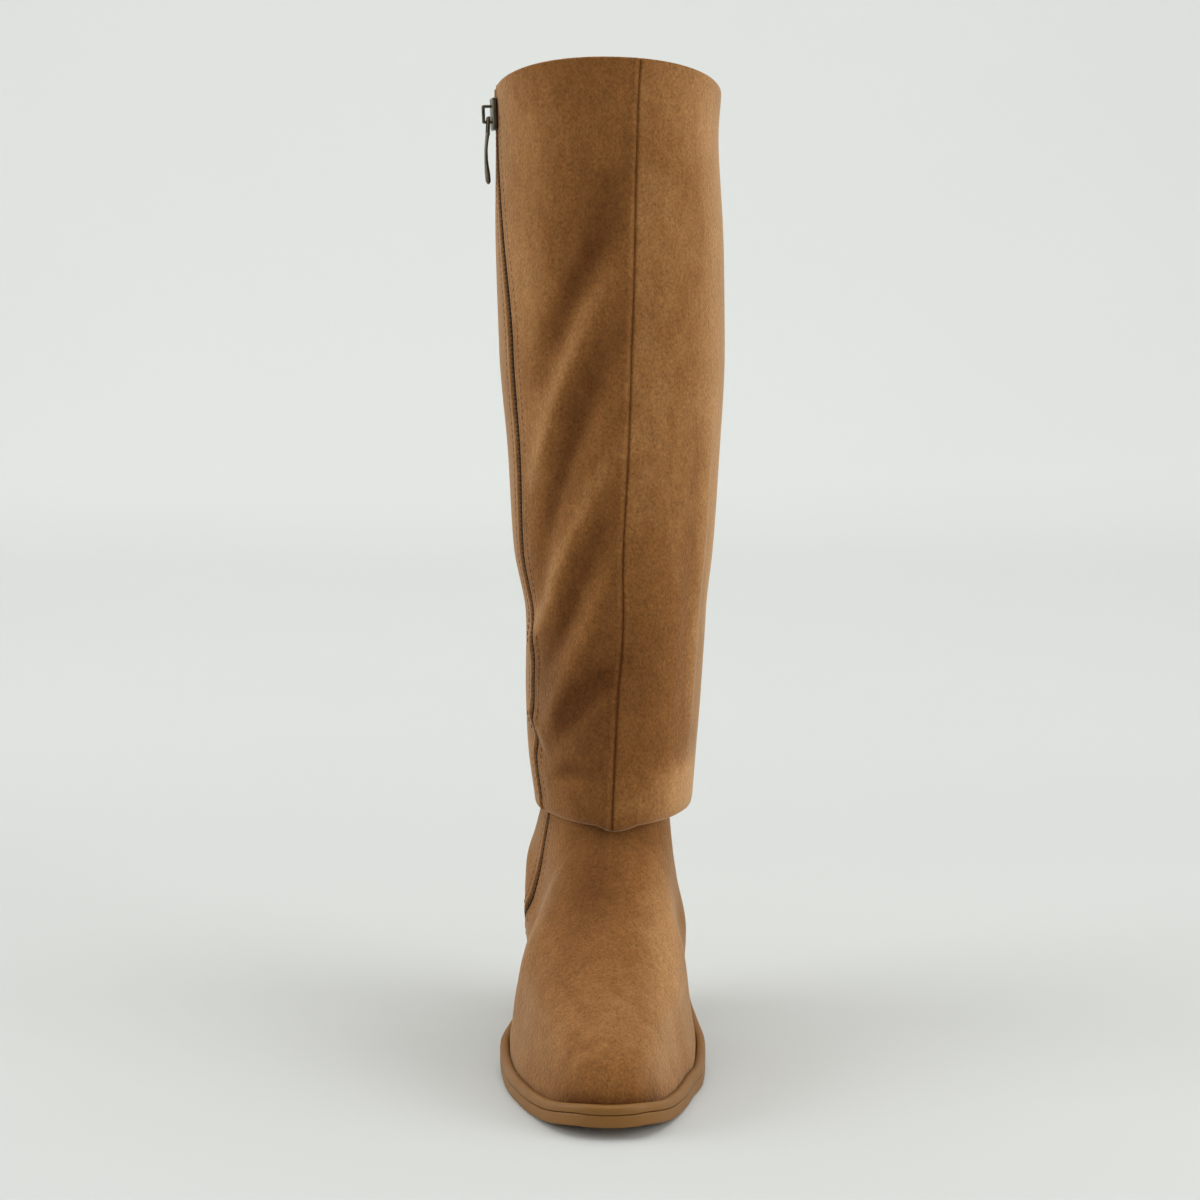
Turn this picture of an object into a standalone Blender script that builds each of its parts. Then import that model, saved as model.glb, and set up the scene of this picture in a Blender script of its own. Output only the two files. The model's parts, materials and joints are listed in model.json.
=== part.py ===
"""A tall left boot in suede: a straight leg that slouches over the ankle in one soft fold, a soft square
toe, a welted rubber sole on a block heel, and a zip down the inner side.

+Z is up, the toe points to -Y and the outer side of the foot is at +X. The origin is the middle of the
heel's tread on the floor. Sizes and tables are in millimetres and degrees, and MM turns them into metres.

Every ring round the boot is read by an angle: 0 is the back, 90 the outer side, 180 the front and 270
the inner side.
"""

import math
from collections import namedtuple

import bmesh
import bpy
from mathutils import Matrix, Vector

MM = 0.001

# Driving sizes of the foot
FOOT_LENGTH = 228.0
HEEL_BACK = 30.0
BALL_WIDTH = 84.6
HEEL_HEIGHT = 55.5
TOE_FEATHER = 11.1
INSTEP_HEIGHT = 116.9
QUARTER_HEIGHT = 68.7
HEEL_ROUNDNESS = 2.4
ANKLE_CENTRE = 2.0
ANKLE_HALF = 29.0

# Walls and fits
WALL = 2.0
GAP = 0.3
LAP_GAP = 0.4
SEAT_GAP = 0.45
INSOLE_GAP = 0.75

# Sole, welt, insole and heel
WELT_WIDTH = 4.5
SOLE_TOP_EDGE = 0.7
SOLE_FLOOR_EDGE = 1.0
INSOLE_THICK = 3.0
HEEL_LIFT_THICK = 6.0
HEEL_LIFT_EDGE = 0.8
HEEL_WIDEST = 2.0
HEEL_BREAST_SQUARENESS = 6.0

# Leg, fold and seams
LEG_ROUNDNESS = 2.15
SEAM_FADE = 75.0
SEAM_CLEAR = 8.0
FRONT = 180.0
BACK = 0.0
ZIP = 263.0

# Zip
CHANNEL_DEPTH = 1.5
CHANNEL_HALF = 4.7
CHANNEL_LIP = 0.35
CHAIN_HALF = 3.0
CHAIN_THICK = 1.2
CHAIN_TOP_LEVEL = 0.5
CHAIN_FOOT_ENDS = (3.1, 9.0)
CHANNEL_FOOT_END = 3.0

# Slider and pull
SLIDER_LEVEL = 0.62
SLIDER_SIZE = (11.0, 15.0, 2.2)
SLIDER_EDGE = 0.7
BRIDGE_SIZE = (3.0, 8.6, 4.5)
BRIDGE_WINDOW = (6.0, 3.2)
PULL_THICK = 1.6
PULL_BAR = 1.4
PULL_EYE = (3.9, 6.6)
HINGE_FROM_WINDOW_END = 1.3

# Resolution of the lofts
COLUMNS = 48
SIDE_CROWDING = 12.0
HEEL_COLUMNS = 28
UPPER_LEVELS = (0, 1, 1.6, 2.3, 3, 3.6, 4.2, 5, 5.7, 6.4, 7.2, 8, 8.6, 9.1, 9.4, 9.7, 10)
RETURN_LEVELS = (9.4, 9.7, 10)
ROWS_PER_LEG_SECTION = 2

# Plan of the foot where the upper meets the sole, from the back of the heel to the tip of the toe
Outline = namedtuple("Outline", "along centre half")
OUTLINE_ROWS = (
    Outline(0.00, 0.0, 0.658),
    Outline(0.12, 0.0, 0.705),
    Outline(0.25, 1.0, 0.690),
    Outline(0.37, 1.5, 0.731),
    Outline(0.45, 0.0, 0.775),
    Outline(0.51, -3.0, 0.905),
    Outline(0.57, -4.5, 1.000),
    Outline(0.68, -4.9, 0.955),
    Outline(0.76, -5.9, 0.875),
    Outline(0.85, -5.8, 0.790),
    Outline(0.94, -5.5, 0.700),
    Outline(1.00, -4.8, 0.620),
)

# Underside of the sole: its rise as a share of the heel's height, and its thickness
Sole = namedtuple("Sole", "along rise thick")
SOLE_ROWS = (
    Sole(0.00, 1.00, 4.5),
    Sole(0.12, 0.970, 4.5),
    Sole(0.24, 0.925, 4.5),
    Sole(0.33, 0.70, 4.5),
    Sole(0.42, 0.430, 4.8),
    Sole(0.50, 0.225, 5.2),
    Sole(0.57, 0.085, 5.5),
    Sole(0.64, 0.015, 5.5),
    Sole(0.69, 0.000, 5.5),
    Sole(0.82, 0.000, 5.5),
    Sole(0.91, 0.022, 5.5),
    Sole(1.00, 0.095, 5.5),
)

# Rings of the upper from the welt to the ankle. The front climbs the toe and the instep, the back climbs
# the counter. Follow is how far a ring keeps the sole's curve, narrow how far it has become the ankle and
# taper how much the wall leans in. Swell is how much the quarters fill out, swell_at where along the foot
# they do so, and lean how far that goes to one side. Blunt squares the front of the ring.
Upper = namedtuple(
    "Upper", "front front_rise bulge back_rise follow narrow taper swell swell_at lean blunt zip_turn"
)
UPPER_ROWS = (
    Upper(1.000, 0.000, 0.0, 0.000, 1.00, 0.00, 0.0, 0.0, -58, 0.0, 3.0, 19.0),
    Upper(1.000, 0.039, 0.0, 0.065, 1.00, 0.00, 0.0, 0.0, -58, 0.0, 3.0, 20.0),
    Upper(0.996, 0.093, 2.5, 0.170, 0.90, 0.00, 2.2, 3.5, -54, -0.5, 3.0, 21.0),
    Upper(0.976, 0.159, 4.0, 0.272, 0.75, 0.03, 4.4, 10.0, -50, -1.8, 3.0, 20.0),
    Upper(0.925, 0.220, 4.5, 0.374, 0.58, 0.08, 5.4, 13.5, -45, -2.8, 3.0, 16.8),
    Upper(0.846, 0.285, 4.0, 0.476, 0.40, 0.16, 5.4, 14.0, -40, -3.8, 2.7, 12.0),
    Upper(0.746, 0.381, 3.0, 0.578, 0.25, 0.28, 5.0, 14.0, -32, -4.2, 2.5, 5.0),
    Upper(0.640, 0.512, 1.5, 0.680, 0.12, 0.45, 4.6, 12.0, -28, -3.2, 2.4, -2.0),
    Upper(0.548, 0.669, 0.0, 0.782, 0.05, 0.65, 3.0, 8.0, -24, -2.2, 2.3, -8.0),
    Upper(0.474, 0.834, -1.0, 0.884, 0.00, 0.85, 1.0, 2.0, -20, -1.0, 2.2, -13.0),
    Upper(0.430, 1.000, -1.5, 1.000, 0.00, 1.00, 0.0, 0.0, -20, 0.0, 2.1, -16.0),
)
SWELL_REACH = 40.0

# Rings of the leg from the collar down to the fold. Tilt lifts the front of a ring and lowers its back,
# roll does the same across, and the turns move the front seam and the zip round the leg.
Leg = namedtuple("Leg", "height tilt roll centre half front back seam_turn zip_turn")
LEG_ROWS = (
    Leg(443.2, 13.2, -1.0, 2.0, 53.4, -66.0, 58.0, -11.3, -2.2),
    Leg(422, 12.0, -1.0, 1.7, 52.5, -67.0, 59.5, -10.5, -4.3),
    Leg(372, 8.0, -0.5, 2.9, 54.0, -69.0, 61.0, -7.8, -15.1),
    Leg(325, 4.0, 0.0, 3.9, 53.6, -71.0, 60.0, -5.5, -21.7),
    Leg(277, 1.0, 0.0, 4.6, 50.4, -73.5, 55.0, -3.3, -20.7),
    Leg(232, 0.0, 0.0, 4.2, 47.4, -77.0, 49.0, -1.5, -18.2),
    Leg(200, 0.0, 0.0, 5.2, 42.8, -79.5, 45.0, -0.5, -17.7),
    Leg(165, 0.0, 0.0, 3.9, 41.7, -83.5, 42.0, 1.0, -17.7),
    Leg(135, 0.0, 0.0, 3.2, 39.9, -86.5, 40.0, 2.0, -17.7),
    Leg(113, 0.0, 0.0, 3.7, 37.7, -87.0, 38.5, 4.0, -17.7),
)

# How far the fold's lower edge rises round the leg from its lowest spot, which hangs at the front seam
Wave = namedtuple("Wave", "angle rise")
WAVE_ROWS = (
    Wave(0, 2.0),
    Wave(90, 2.0),
    Wave(130, 4.5),
    Wave(165, 3.5),
    Wave(183, 0.0),
    Wave(197, 3.5),
    Wave(230, 4.5),
    Wave(270, 2.0),
    Wave(360, 2.0),
)
WAVE_FROM = 7.0

# The fold's roll from the leg to the edge turned up inside it: how far over to that edge, and how far down
Fold = namedtuple("Fold", "over drop")
FOLD_ROWS = (Fold(0.08, 4.2), Fold(0.30, 7.0), Fold(0.60, 5.6))

# Steps of the seams and of the zip's channel, measured across the line along the wall
Step = namedtuple("Step", "across height")
SEAM_STEPS = (Step(-2.2, 0.0), Step(0.0, -0.6), Step(1.9, 0.5), Step(5.0, 0.0))
CHANNEL_STEPS = (
    Step(-CHANNEL_HALF - CHANNEL_LIP, 0.0),
    Step(-CHANNEL_HALF, -CHANNEL_DEPTH),
    Step(0.0, -CHANNEL_DEPTH),
    Step(CHANNEL_HALF, -CHANNEL_DEPTH),
    Step(CHANNEL_HALF + CHANNEL_LIP, 0.0),
)

# Section of the welt: out from the upper and up from the sole
Welt = namedtuple("Welt", "out up")
WELT_SECTION = (
    Welt(LAP_GAP, GAP),
    Welt(4.0, GAP),
    Welt(WELT_WIDTH, 0.9),
    Welt(WELT_WIDTH, 2.2),
    Welt(3.6, 3.5),
    Welt(2.2, 4.1),
    Welt(LAP_GAP, 3.7),
)

# Sections of the heel block from the sole's underside down to the lift
Heel = namedtuple("Heel", "down breast back half")
HEEL_ROWS = (
    Heel(0.00, -21.0, 32.5, 30.5),
    Heel(0.35, -22.0, 29.0, 29.0),
    Heel(0.70, -22.8, 25.8, 27.9),
    Heel(1.00, -23.5, 23.5, 27.5),
)

# Half of the pull's outline, from its bar at the hinge down to its drop
Pull = namedtuple("Pull", "half down")
PULL_ROWS = (
    Pull(2.5, -PULL_BAR / 2),
    Pull(3.3, 0.1),
    Pull(3.3, 7.3),
    Pull(2.2, 11.3),
    Pull(2.2, 18.6),
    Pull(3.3, 26.0),
    Pull(2.9, 29.0),
    Pull(1.5, 30.6),
)

SUEDE = ("suede", (0.42, 0.26, 0.14), 0.95, 0.0)
LINING = ("lining", (0.55, 0.42, 0.30), 0.9, 0.0)
RUBBER = ("rubber", (0.50, 0.33, 0.19), 0.55, 0.0)
BRONZE = ("bronze", (0.10, 0.085, 0.06), 0.35, 1.0)
TAPE = ("zip_tape", (0.13, 0.09, 0.06), 0.6, 0.2)


# Curves through tables

def smooth(places, values):
    """A curve through the values that never overshoots them."""
    steps = [b - a for a, b in zip(places, places[1:])]
    slopes = [(b - a) / step for a, b, step in zip(values, values[1:], steps)]
    tangents = [slopes[0]]
    for before, after in zip(slopes, slopes[1:]):
        same_way = before * after > 0
        tangents.append(2 * before * after / (before + after) if same_way else 0.0)
    tangents.append(slopes[-1])

    def curve(at):
        at = min(max(at, places[0]), places[-1])
        row = max(i for i in range(len(steps)) if places[i] <= at)
        part = (at - places[row]) / steps[row]
        start = values[row] + (values[row] - values[row + 1]) * part * part * (2 * part - 3)
        lift = tangents[row] * (1 - part) + -tangents[row + 1] * part
        return start + lift * steps[row] * part * (1 - part)

    return curve


def columns_of(rows, places=None):
    """Each column of a table as a curve over its places, or over the row's number."""
    names = rows[0]._fields
    table = {name: [getattr(row, name) for row in rows] for name in names}
    along = table[places] if places else list(range(len(rows)))
    return {name: smooth(along, table[name]) for name in names}


OUTLINE = columns_of(OUTLINE_ROWS, "along")
SOLE = columns_of(SOLE_ROWS, "along")
UPPER = columns_of(UPPER_ROWS)
LEG = columns_of(LEG_ROWS)
WAVE = columns_of(WAVE_ROWS, "angle")


def blend(a, b, part):
    return a + (b - a) * part


def round_ring(angle, front_power, back_power):
    """How far back (-1 front, 1 back) and how far out a superellipse is at an angle."""
    back = math.cos(math.radians(angle))
    power = back_power if back > 0 else front_power
    out = max(0.0, 1 - abs(back) ** power) ** (1 / power)
    return back, math.copysign(out, math.sin(math.radians(angle)))


def along_of(y):
    return (HEEL_BACK - y) / FOOT_LENGTH


def sole_under(y):
    return HEEL_HEIGHT * SOLE["rise"](along_of(y))


def sole_top(y):
    return sole_under(y) + SOLE["thick"](along_of(y))


# The upper

def upper_point(angle, level):
    """A point on the outside of the upper: level 0 is on the sole and 10 is the ankle."""
    row = {name: curve(level) for name, curve in UPPER.items()}
    back, out = round_ring(angle, row["blunt"], HEEL_ROUNDNESS)
    front_y = HEEL_BACK - row["front"] * FOOT_LENGTH
    back_y = HEEL_BACK + row["bulge"]
    y = blend(front_y, back_y, (1 + back) / 2)
    along = along_of(y)
    quarter = math.exp(-(((y - row["swell_at"]) / SWELL_REACH) ** 2))
    foot_half = OUTLINE["half"](along) * BALL_WIDTH / 2 + row["swell"] * quarter - row["taper"]
    half = blend(foot_half, ANKLE_HALF, row["narrow"])
    centre = blend(OUTLINE["centre"](along), ANKLE_CENTRE, row["narrow"]) + row["lean"] * quarter
    heel_seat = sole_top(HEEL_BACK) + SEAT_GAP
    front_z = TOE_FEATHER + row["front_rise"] * INSTEP_HEIGHT
    back_z = heel_seat + row["back_rise"] * QUARTER_HEIGHT
    sole_y = blend(HEEL_BACK - FOOT_LENGTH, HEEL_BACK, (1 + back) / 2)
    straight = blend(TOE_FEATHER, heel_seat, (1 + back) / 2)
    sag = sole_top(sole_y) + SEAT_GAP - straight
    z = blend(front_z, back_z, (1 + back) / 2) + row["follow"] * sag
    return Vector((centre + half * out, y, z))


def upper_zip(level):
    return ZIP + UPPER["zip_turn"](level)


# The leg

def leg_point(angle, level):
    """A point on the outside of the leg: level 0 is the collar, then one for each section."""
    row = {name: curve(level) for name, curve in LEG.items()}
    back, out = round_ring(angle, LEG_ROUNDNESS, LEG_ROUNDNESS)
    x = row["centre"] + row["half"] * out
    y = blend(row["front"], row["back"], (1 + back) / 2)
    lowest = len(LEG_ROWS) - 1
    wave = max(0.0, (level - WAVE_FROM) / (lowest - WAVE_FROM)) * WAVE["rise"](angle % 360)
    z = row["height"] - row["tilt"] * back + row["roll"] * out + wave
    return Vector((x, y, z))


def leg_seam(level):
    return FRONT + LEG["seam_turn"](level)


def leg_zip(level):
    return ZIP + LEG["zip_turn"](level)


# Columns round a ring

def turn_between(angle, other):
    return (angle - other + 180) % 360 - 180


def fading(angle, line):
    """1 on a line, 0 far round from it."""
    part = max(0.0, 1 - abs(turn_between(angle, line)) / SEAM_FADE)
    return part * part * (3 - 2 * part)


def columns():
    """(angle, across, line) of every column: plain ones, closest at the sides of the long foot, and those
    that step across a seam or the zip."""
    lines = {BACK: SEAM_STEPS, FRONT: SEAM_STEPS, ZIP: CHANNEL_STEPS}
    found = []
    for k in range(COLUMNS):
        angle = 360 * k / COLUMNS
        angle += SIDE_CROWDING * math.sin(math.radians(2 * angle))
        if all(abs(turn_between(angle, line)) > SEAM_CLEAR for line in lines):
            found.append((angle, 0.0, None))
    for line, steps in lines.items():
        for step in steps:
            found.append((line, step.across, line))
    return sorted(found, key=lambda column: (column[0] % 360, column[1]))


def stepped_angle(point, level, angle, across):
    """The angle that lies a distance across the wall from another one."""
    small = 0.5
    speed = (point(angle + small, level) - point(angle - small, level)).length / (2 * small)
    return angle + across / speed


def straight_on(level):
    return FRONT


def column_angles(point, seam_at, zip_at, level):
    """The angle of every column on a ring, drawn round to where the seam and the zip run."""
    found = []
    for angle, across, _ in columns():
        moved = angle
        moved += fading(angle, FRONT) * (seam_at(level) - FRONT)
        moved += fading(angle, ZIP) * (zip_at(level) - ZIP)
        found.append(stepped_angle(point, level, moved, across))
    return found


def ring_of(point, seam_at, zip_at, level):
    return [point(angle, level) for angle in column_angles(point, seam_at, zip_at, level)]


def outward(rings, row, column):
    """The side of a grid of rings that faces out where the rings run downwards."""
    count = len(rings[row])
    above = rings[max(row - 1, 0)][column]
    below = rings[min(row + 1, len(rings) - 1)][column]
    across = rings[row][(column + 1) % count] - rings[row][column - 1]
    return across.cross(below - above).normalized()


def stepped(rings, seam_rows, zip_rows):
    """The rings with the seams raised and the zip's channel let in, on the rows that have them."""
    lines = ((BACK, SEAM_STEPS, seam_rows), (FRONT, SEAM_STEPS, seam_rows), (ZIP, CHANNEL_STEPS, zip_rows))
    heights = {}
    for line, steps, rows in lines:
        for step in steps:
            heights[line, step.across] = (step.height, rows)
    plain = (0.0, ())
    marks = [heights.get((line, across), plain) for _, across, line in columns()]
    result = []
    for row, ring in enumerate(rings):
        raised = []
        for k, point in enumerate(ring):
            height, rows = marks[k]
            raised.append(point + outward(rings, row, k) * height if row in rows else point)
        result.append(raised)
    return result


# Meshes

def collection_named(name):
    found = bpy.data.collections.new(name)
    bpy.context.scene.collection.children.link(found)
    return found


def material_of(looks):
    name, colour, roughness, metallic = looks
    found = bpy.data.materials.get(name)
    if found is None:
        found = bpy.data.materials.new(name)
        found.use_nodes = True
        shader = found.node_tree.nodes["Principled BSDF"]
        shader.inputs["Base Color"].default_value = (*colour, 1)
        shader.inputs["Roughness"].default_value = roughness
        shader.inputs["Metallic"].default_value = metallic
    return found


def object_from(bm, name, looks, collection):
    mesh = bpy.data.meshes.new(name)
    bmesh.ops.recalc_face_normals(bm, faces=bm.faces)
    bm.to_mesh(mesh)
    bm.free()
    mesh.materials.append(material_of(looks))
    made = bpy.data.objects.new(name, mesh)
    collection.objects.link(made)
    return made


def lofted(rings, closed=False):
    """Quads between rings of points, the last ring joined to the first if closed."""
    bm = bmesh.new()
    rows = [[bm.verts.new(point * MM) for point in ring] for ring in rings]
    pairs = list(zip(rows, rows[1:]))
    if closed:
        pairs.append((rows[-1], rows[0]))
    for upper, lower in pairs:
        count = len(upper)
        for k in range(count):
            after = (k + 1) % count
            bm.faces.new((upper[k], lower[k], lower[after], upper[after]))
    return bm, rows


def cap_across(bm, ring):
    """Closes a ring with triangles from side to side, taken in step from its back to its front."""
    back = max(range(len(ring)), key=lambda k: ring[k].co.y)
    turned = ring[back:] + ring[:back]
    front = min(range(len(ring)), key=lambda k: turned[k].co.y)
    outer = turned[:front + 1]
    inner = [turned[0]] + turned[:front - 1:-1]
    i = 0
    j = 0
    while i + j < len(outer) + len(inner) - 2:
        outer_y = outer[i + 1].co.y if i + 1 < len(outer) else -math.inf
        inner_y = inner[j + 1].co.y if j + 1 < len(inner) else -math.inf
        corners = [outer[i], inner[j]]
        if outer_y >= inner_y:
            i += 1
            corners.append(outer[i])
        else:
            j += 1
            corners.append(inner[j])
        if len(set(corners)) == 3:
            bm.faces.new(corners)


def shell(name, rings, collection):
    """A wall of suede inside a surface of rings."""
    bm, _ = lofted(rings)
    made = object_from(bm, name, SUEDE, collection)
    if made.data.polygons[0].normal.dot(made.data.polygons[0].center - centre_of(rings[0])) < 0:
        made.data.flip_normals()
    wall = made.modifiers.new("wall", "SOLIDIFY")
    wall.thickness = WALL * MM
    wall.offset = -1
    wall.use_even_offset = True
    wall.use_quality_normals = True
    made.data.shade_smooth()
    return made


def centre_of(ring):
    return sum(ring, Vector()) * (MM / len(ring))


def slab(name, rings, looks, collection):
    """A solid between rings, closed across its first and last."""
    bm, rows = lofted(rings)
    cap_across(bm, rows[0])
    cap_across(bm, rows[-1])
    return object_from(bm, name, looks, collection)


# Sole, welt and insole

def foot_edge(angle, out):
    """A point of the foot's plan, moved out from the upper."""
    small = 0.5
    here = upper_point(angle, 0)
    ahead = upper_point(angle + small, 0) - upper_point(angle - small, 0)
    away = Vector((-ahead.y, ahead.x, 0)).normalized()
    return here.x + away.x * out, here.y + away.y * out


def edge_ring(out, height):
    """A ring round the foot at a height that depends on how far along it is."""
    ring = []
    for angle in column_angles(upper_point, straight_on, upper_zip, 0):
        x, y = foot_edge(angle, out)
        ring.append(Vector((x, y, height(y))))
    return ring


def make_outsole(collection):
    rings = (
        edge_ring(WELT_WIDTH - SOLE_TOP_EDGE, sole_top),
        edge_ring(WELT_WIDTH, lambda y: sole_top(y) - SOLE_TOP_EDGE),
        edge_ring(WELT_WIDTH, lambda y: sole_under(y) + SOLE_FLOOR_EDGE),
        edge_ring(WELT_WIDTH - SOLE_FLOOR_EDGE, sole_under),
    )
    return slab("outsole", rings, RUBBER, collection)


def make_welt(collection):
    rings = [edge_ring(corner.out, lambda y: sole_top(y) + corner.up) for corner in WELT_SECTION]
    bm, _ = lofted(rings, closed=True)
    return object_from(bm, "welt", RUBBER, collection)


def make_insole(collection):
    inset = -(WALL + LAP_GAP)
    rings = (
        edge_ring(inset, lambda y: sole_top(y) + INSOLE_GAP + INSOLE_THICK),
        edge_ring(inset, lambda y: sole_top(y) + INSOLE_GAP),
    )
    return slab("insole", rings, LINING, collection)


# Heel

def heel_ring(row, height, inset=0.0):
    ring = []
    for k in range(HEEL_COLUMNS):
        back, out = round_ring(360 * k / HEEL_COLUMNS, HEEL_BREAST_SQUARENESS, HEEL_ROUNDNESS)
        reach = row.back - inset - HEEL_WIDEST if back > 0 else HEEL_WIDEST - row.breast - inset
        y = HEEL_WIDEST + back * reach
        ring.append(Vector(((row.half - inset) * out, y, height(y))))
    return ring


def make_heel(collection):
    floor = HEEL_LIFT_THICK + GAP
    rings = []
    for row in HEEL_ROWS:
        down = row.down
        rings.append(heel_ring(row, lambda y: blend(sole_under(y) - SEAT_GAP, floor, down)))
    return slab("heel", rings, RUBBER, collection)


def make_heel_lift(collection):
    row = HEEL_ROWS[-1]
    rings = (
        heel_ring(row, lambda y: HEEL_LIFT_THICK),
        heel_ring(row, lambda y: HEEL_LIFT_EDGE),
        heel_ring(row, lambda y: 0.0, HEEL_LIFT_EDGE),
    )
    return slab("heel_lift", rings, RUBBER, collection)


# Upper and leg

def upper_rings(levels):
    return [ring_of(upper_point, straight_on, upper_zip, level) for level in levels]


def make_upper(collection):
    levels = UPPER_LEVELS[::-1]
    zip_rows = [row for row, level in enumerate(levels) if level >= CHANNEL_FOOT_END]
    return shell("upper", stepped(upper_rings(levels), (), zip_rows), collection)


def leg_levels():
    sections = len(LEG_ROWS) - 1
    count = sections * ROWS_PER_LEG_SECTION
    return [sections * k / count for k in range(count + 1)]


def return_rings():
    """The leg's lower edge, turned up inside the fold and lapped round the upper."""
    rings = upper_rings(RETURN_LEVELS)
    wide = []
    for row, ring in enumerate(rings):
        wide.append([point - outward(rings, row, k) * LAP_GAP for k, point in enumerate(ring)])
    return wide


def fold_rings(outer, inner):
    """Rings that roll under from the leg to the edge turned up inside it."""
    rings = []
    for row in FOLD_ROWS:
        rings.append([a.lerp(b, row.over) - Vector((0, 0, row.drop)) for a, b in zip(outer, inner)])
    return rings


def make_shaft(collection):
    """The leg from the collar over the fold to the edge inside it."""
    outer = [ring_of(leg_point, leg_seam, leg_zip, level) for level in leg_levels()]
    inner = return_rings()
    rings = outer + fold_rings(outer[-1], inner[0]) + inner
    outer_rows = range(len(outer))
    return shell("shaft", stepped(rings, outer_rows, outer_rows), collection)


# Zip

def chain_rings(point, zip_at, levels):
    """Four corners of the chain at each level, in the channel with a gap under them."""
    low = GAP - CHANNEL_DEPTH
    small = 0.05
    rings = []
    for level in levels:
        middle = zip_at(level)
        sides = []
        for across in (-CHAIN_HALF, CHAIN_HALF):
            angle = stepped_angle(point, level, middle, across)
            here = point(angle, level)
            down = point(angle, level + small) - point(angle, level - small)
            round_it = point(angle + small, level) - point(angle - small, level)
            away = down.cross(round_it).normalized()
            if away.x > 0:
                away = -away
            sides.append((here, away))
        (first, first_out), (last, last_out) = sides
        high = low + CHAIN_THICK
        rings.append([
            first + first_out * low,
            first + first_out * high,
            last + last_out * high,
            last + last_out * low,
        ])
    return rings


def make_chain(name, rings, collection):
    bm, rows = lofted(rings)
    bm.faces.new(rows[0])
    bm.faces.new(rows[-1])
    return object_from(bm, name, TAPE, collection)


def make_chains(collection):
    leg = [level for level in leg_levels() if level >= CHAIN_TOP_LEVEL]
    make_chain("zip_chain_leg", chain_rings(leg_point, leg_zip, leg), collection)
    start, end = CHAIN_FOOT_ENDS
    foot = [start] + [level for level in UPPER_LEVELS if start < level < end] + [end]
    make_chain("zip_chain_foot", chain_rings(upper_point, upper_zip, foot), collection)


# Slider and pull

def slider_frame():
    """Axes of the slider: along its hinge, down the zip and out from the leg, and its place on the wall."""
    small = 0.05
    angle = leg_zip(SLIDER_LEVEL)
    here = leg_point(angle, SLIDER_LEVEL)
    below = leg_point(leg_zip(SLIDER_LEVEL + small), SLIDER_LEVEL + small)
    down = (below - here).normalized()
    round_it = leg_point(angle + small, SLIDER_LEVEL) - leg_point(angle - small, SLIDER_LEVEL)
    out = down.cross(round_it).normalized()
    if out.x > 0:
        out = -out
    hinge = Vector((out.y, -out.x, 0)).normalized()
    down = out.cross(hinge).normalized()
    if down.z > 0:
        down = -down
    return here, hinge, down, out


def to_frame(origin, hinge, down, out):
    turn = Matrix((hinge, down, out)).transposed().to_4x4()
    return Matrix.Translation(origin * MM) @ turn


def box(name, size, middle, looks, collection, edge=0.0):
    """A box in the slider's axes, with its edges rounded."""
    bm = bmesh.new()
    bmesh.ops.create_cube(bm, size=1)
    bmesh.ops.scale(bm, vec=Vector(size) * MM, verts=bm.verts)
    bmesh.ops.translate(bm, vec=Vector(middle) * MM, verts=bm.verts)
    made = object_from(bm, name, looks, collection)
    if edge:
        rounding = made.modifiers.new("edges", "BEVEL")
        rounding.width = edge * MM
        rounding.segments = 2
    return made


def as_cutter(made):
    made.hide_render = True
    made.display_type = "WIRE"
    return made


def cut_or_join(made, other, operation):
    step = made.modifiers.new(operation.lower(), "BOOLEAN")
    step.operation = operation
    step.object = other
    step.solver = "EXACT"


def slider_heights():
    """Top of the plate and height of the hinge, out from the wall."""
    top = GAP + SLIDER_SIZE[2]
    return top, top + BRIDGE_WINDOW[1] / 2


def make_slider(collection, cutters):
    place = to_frame(*slider_frame())
    top, hinge_out = slider_heights()
    plate_middle = (0, 0, top - SLIDER_SIZE[2] / 2)
    plate = box("zip_slider", SLIDER_SIZE, plate_middle, BRONZE, collection, SLIDER_EDGE)
    width, length, height = BRIDGE_SIZE
    sink = SLIDER_EDGE
    bridge_size = (width, length, height + sink)
    bridge_middle = (0, 0, top - sink + bridge_size[2] / 2)
    bridge = box("bridge", bridge_size, bridge_middle, BRONZE, cutters, SLIDER_EDGE)
    window_size = (2 * width, BRIDGE_WINDOW[0], BRIDGE_WINDOW[1])
    window = box("window", window_size, (0, 0, hinge_out), BRONZE, cutters)
    for made in (plate, bridge, window):
        made.matrix_world = place
    cut_or_join(plate, as_cutter(bridge), "UNION")
    cut_or_join(plate, as_cutter(window), "DIFFERENCE")


def hinge_point():
    here, hinge, down, out = slider_frame()
    _, hinge_out = slider_heights()
    below = BRIDGE_WINDOW[0] / 2 - HINGE_FROM_WINDOW_END
    return here + down * below + out * hinge_out


def flat_outline(curve, corners):
    """A closed outline in a flat curve; one inside another is a hole."""
    outline = curve.splines.new("POLY")
    outline.points.add(len(corners) - 1)
    outline.use_cyclic_u = True
    for point, (x, y) in zip(outline.points, corners):
        point.co = (x * MM, y * MM, 0, 1)


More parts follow.
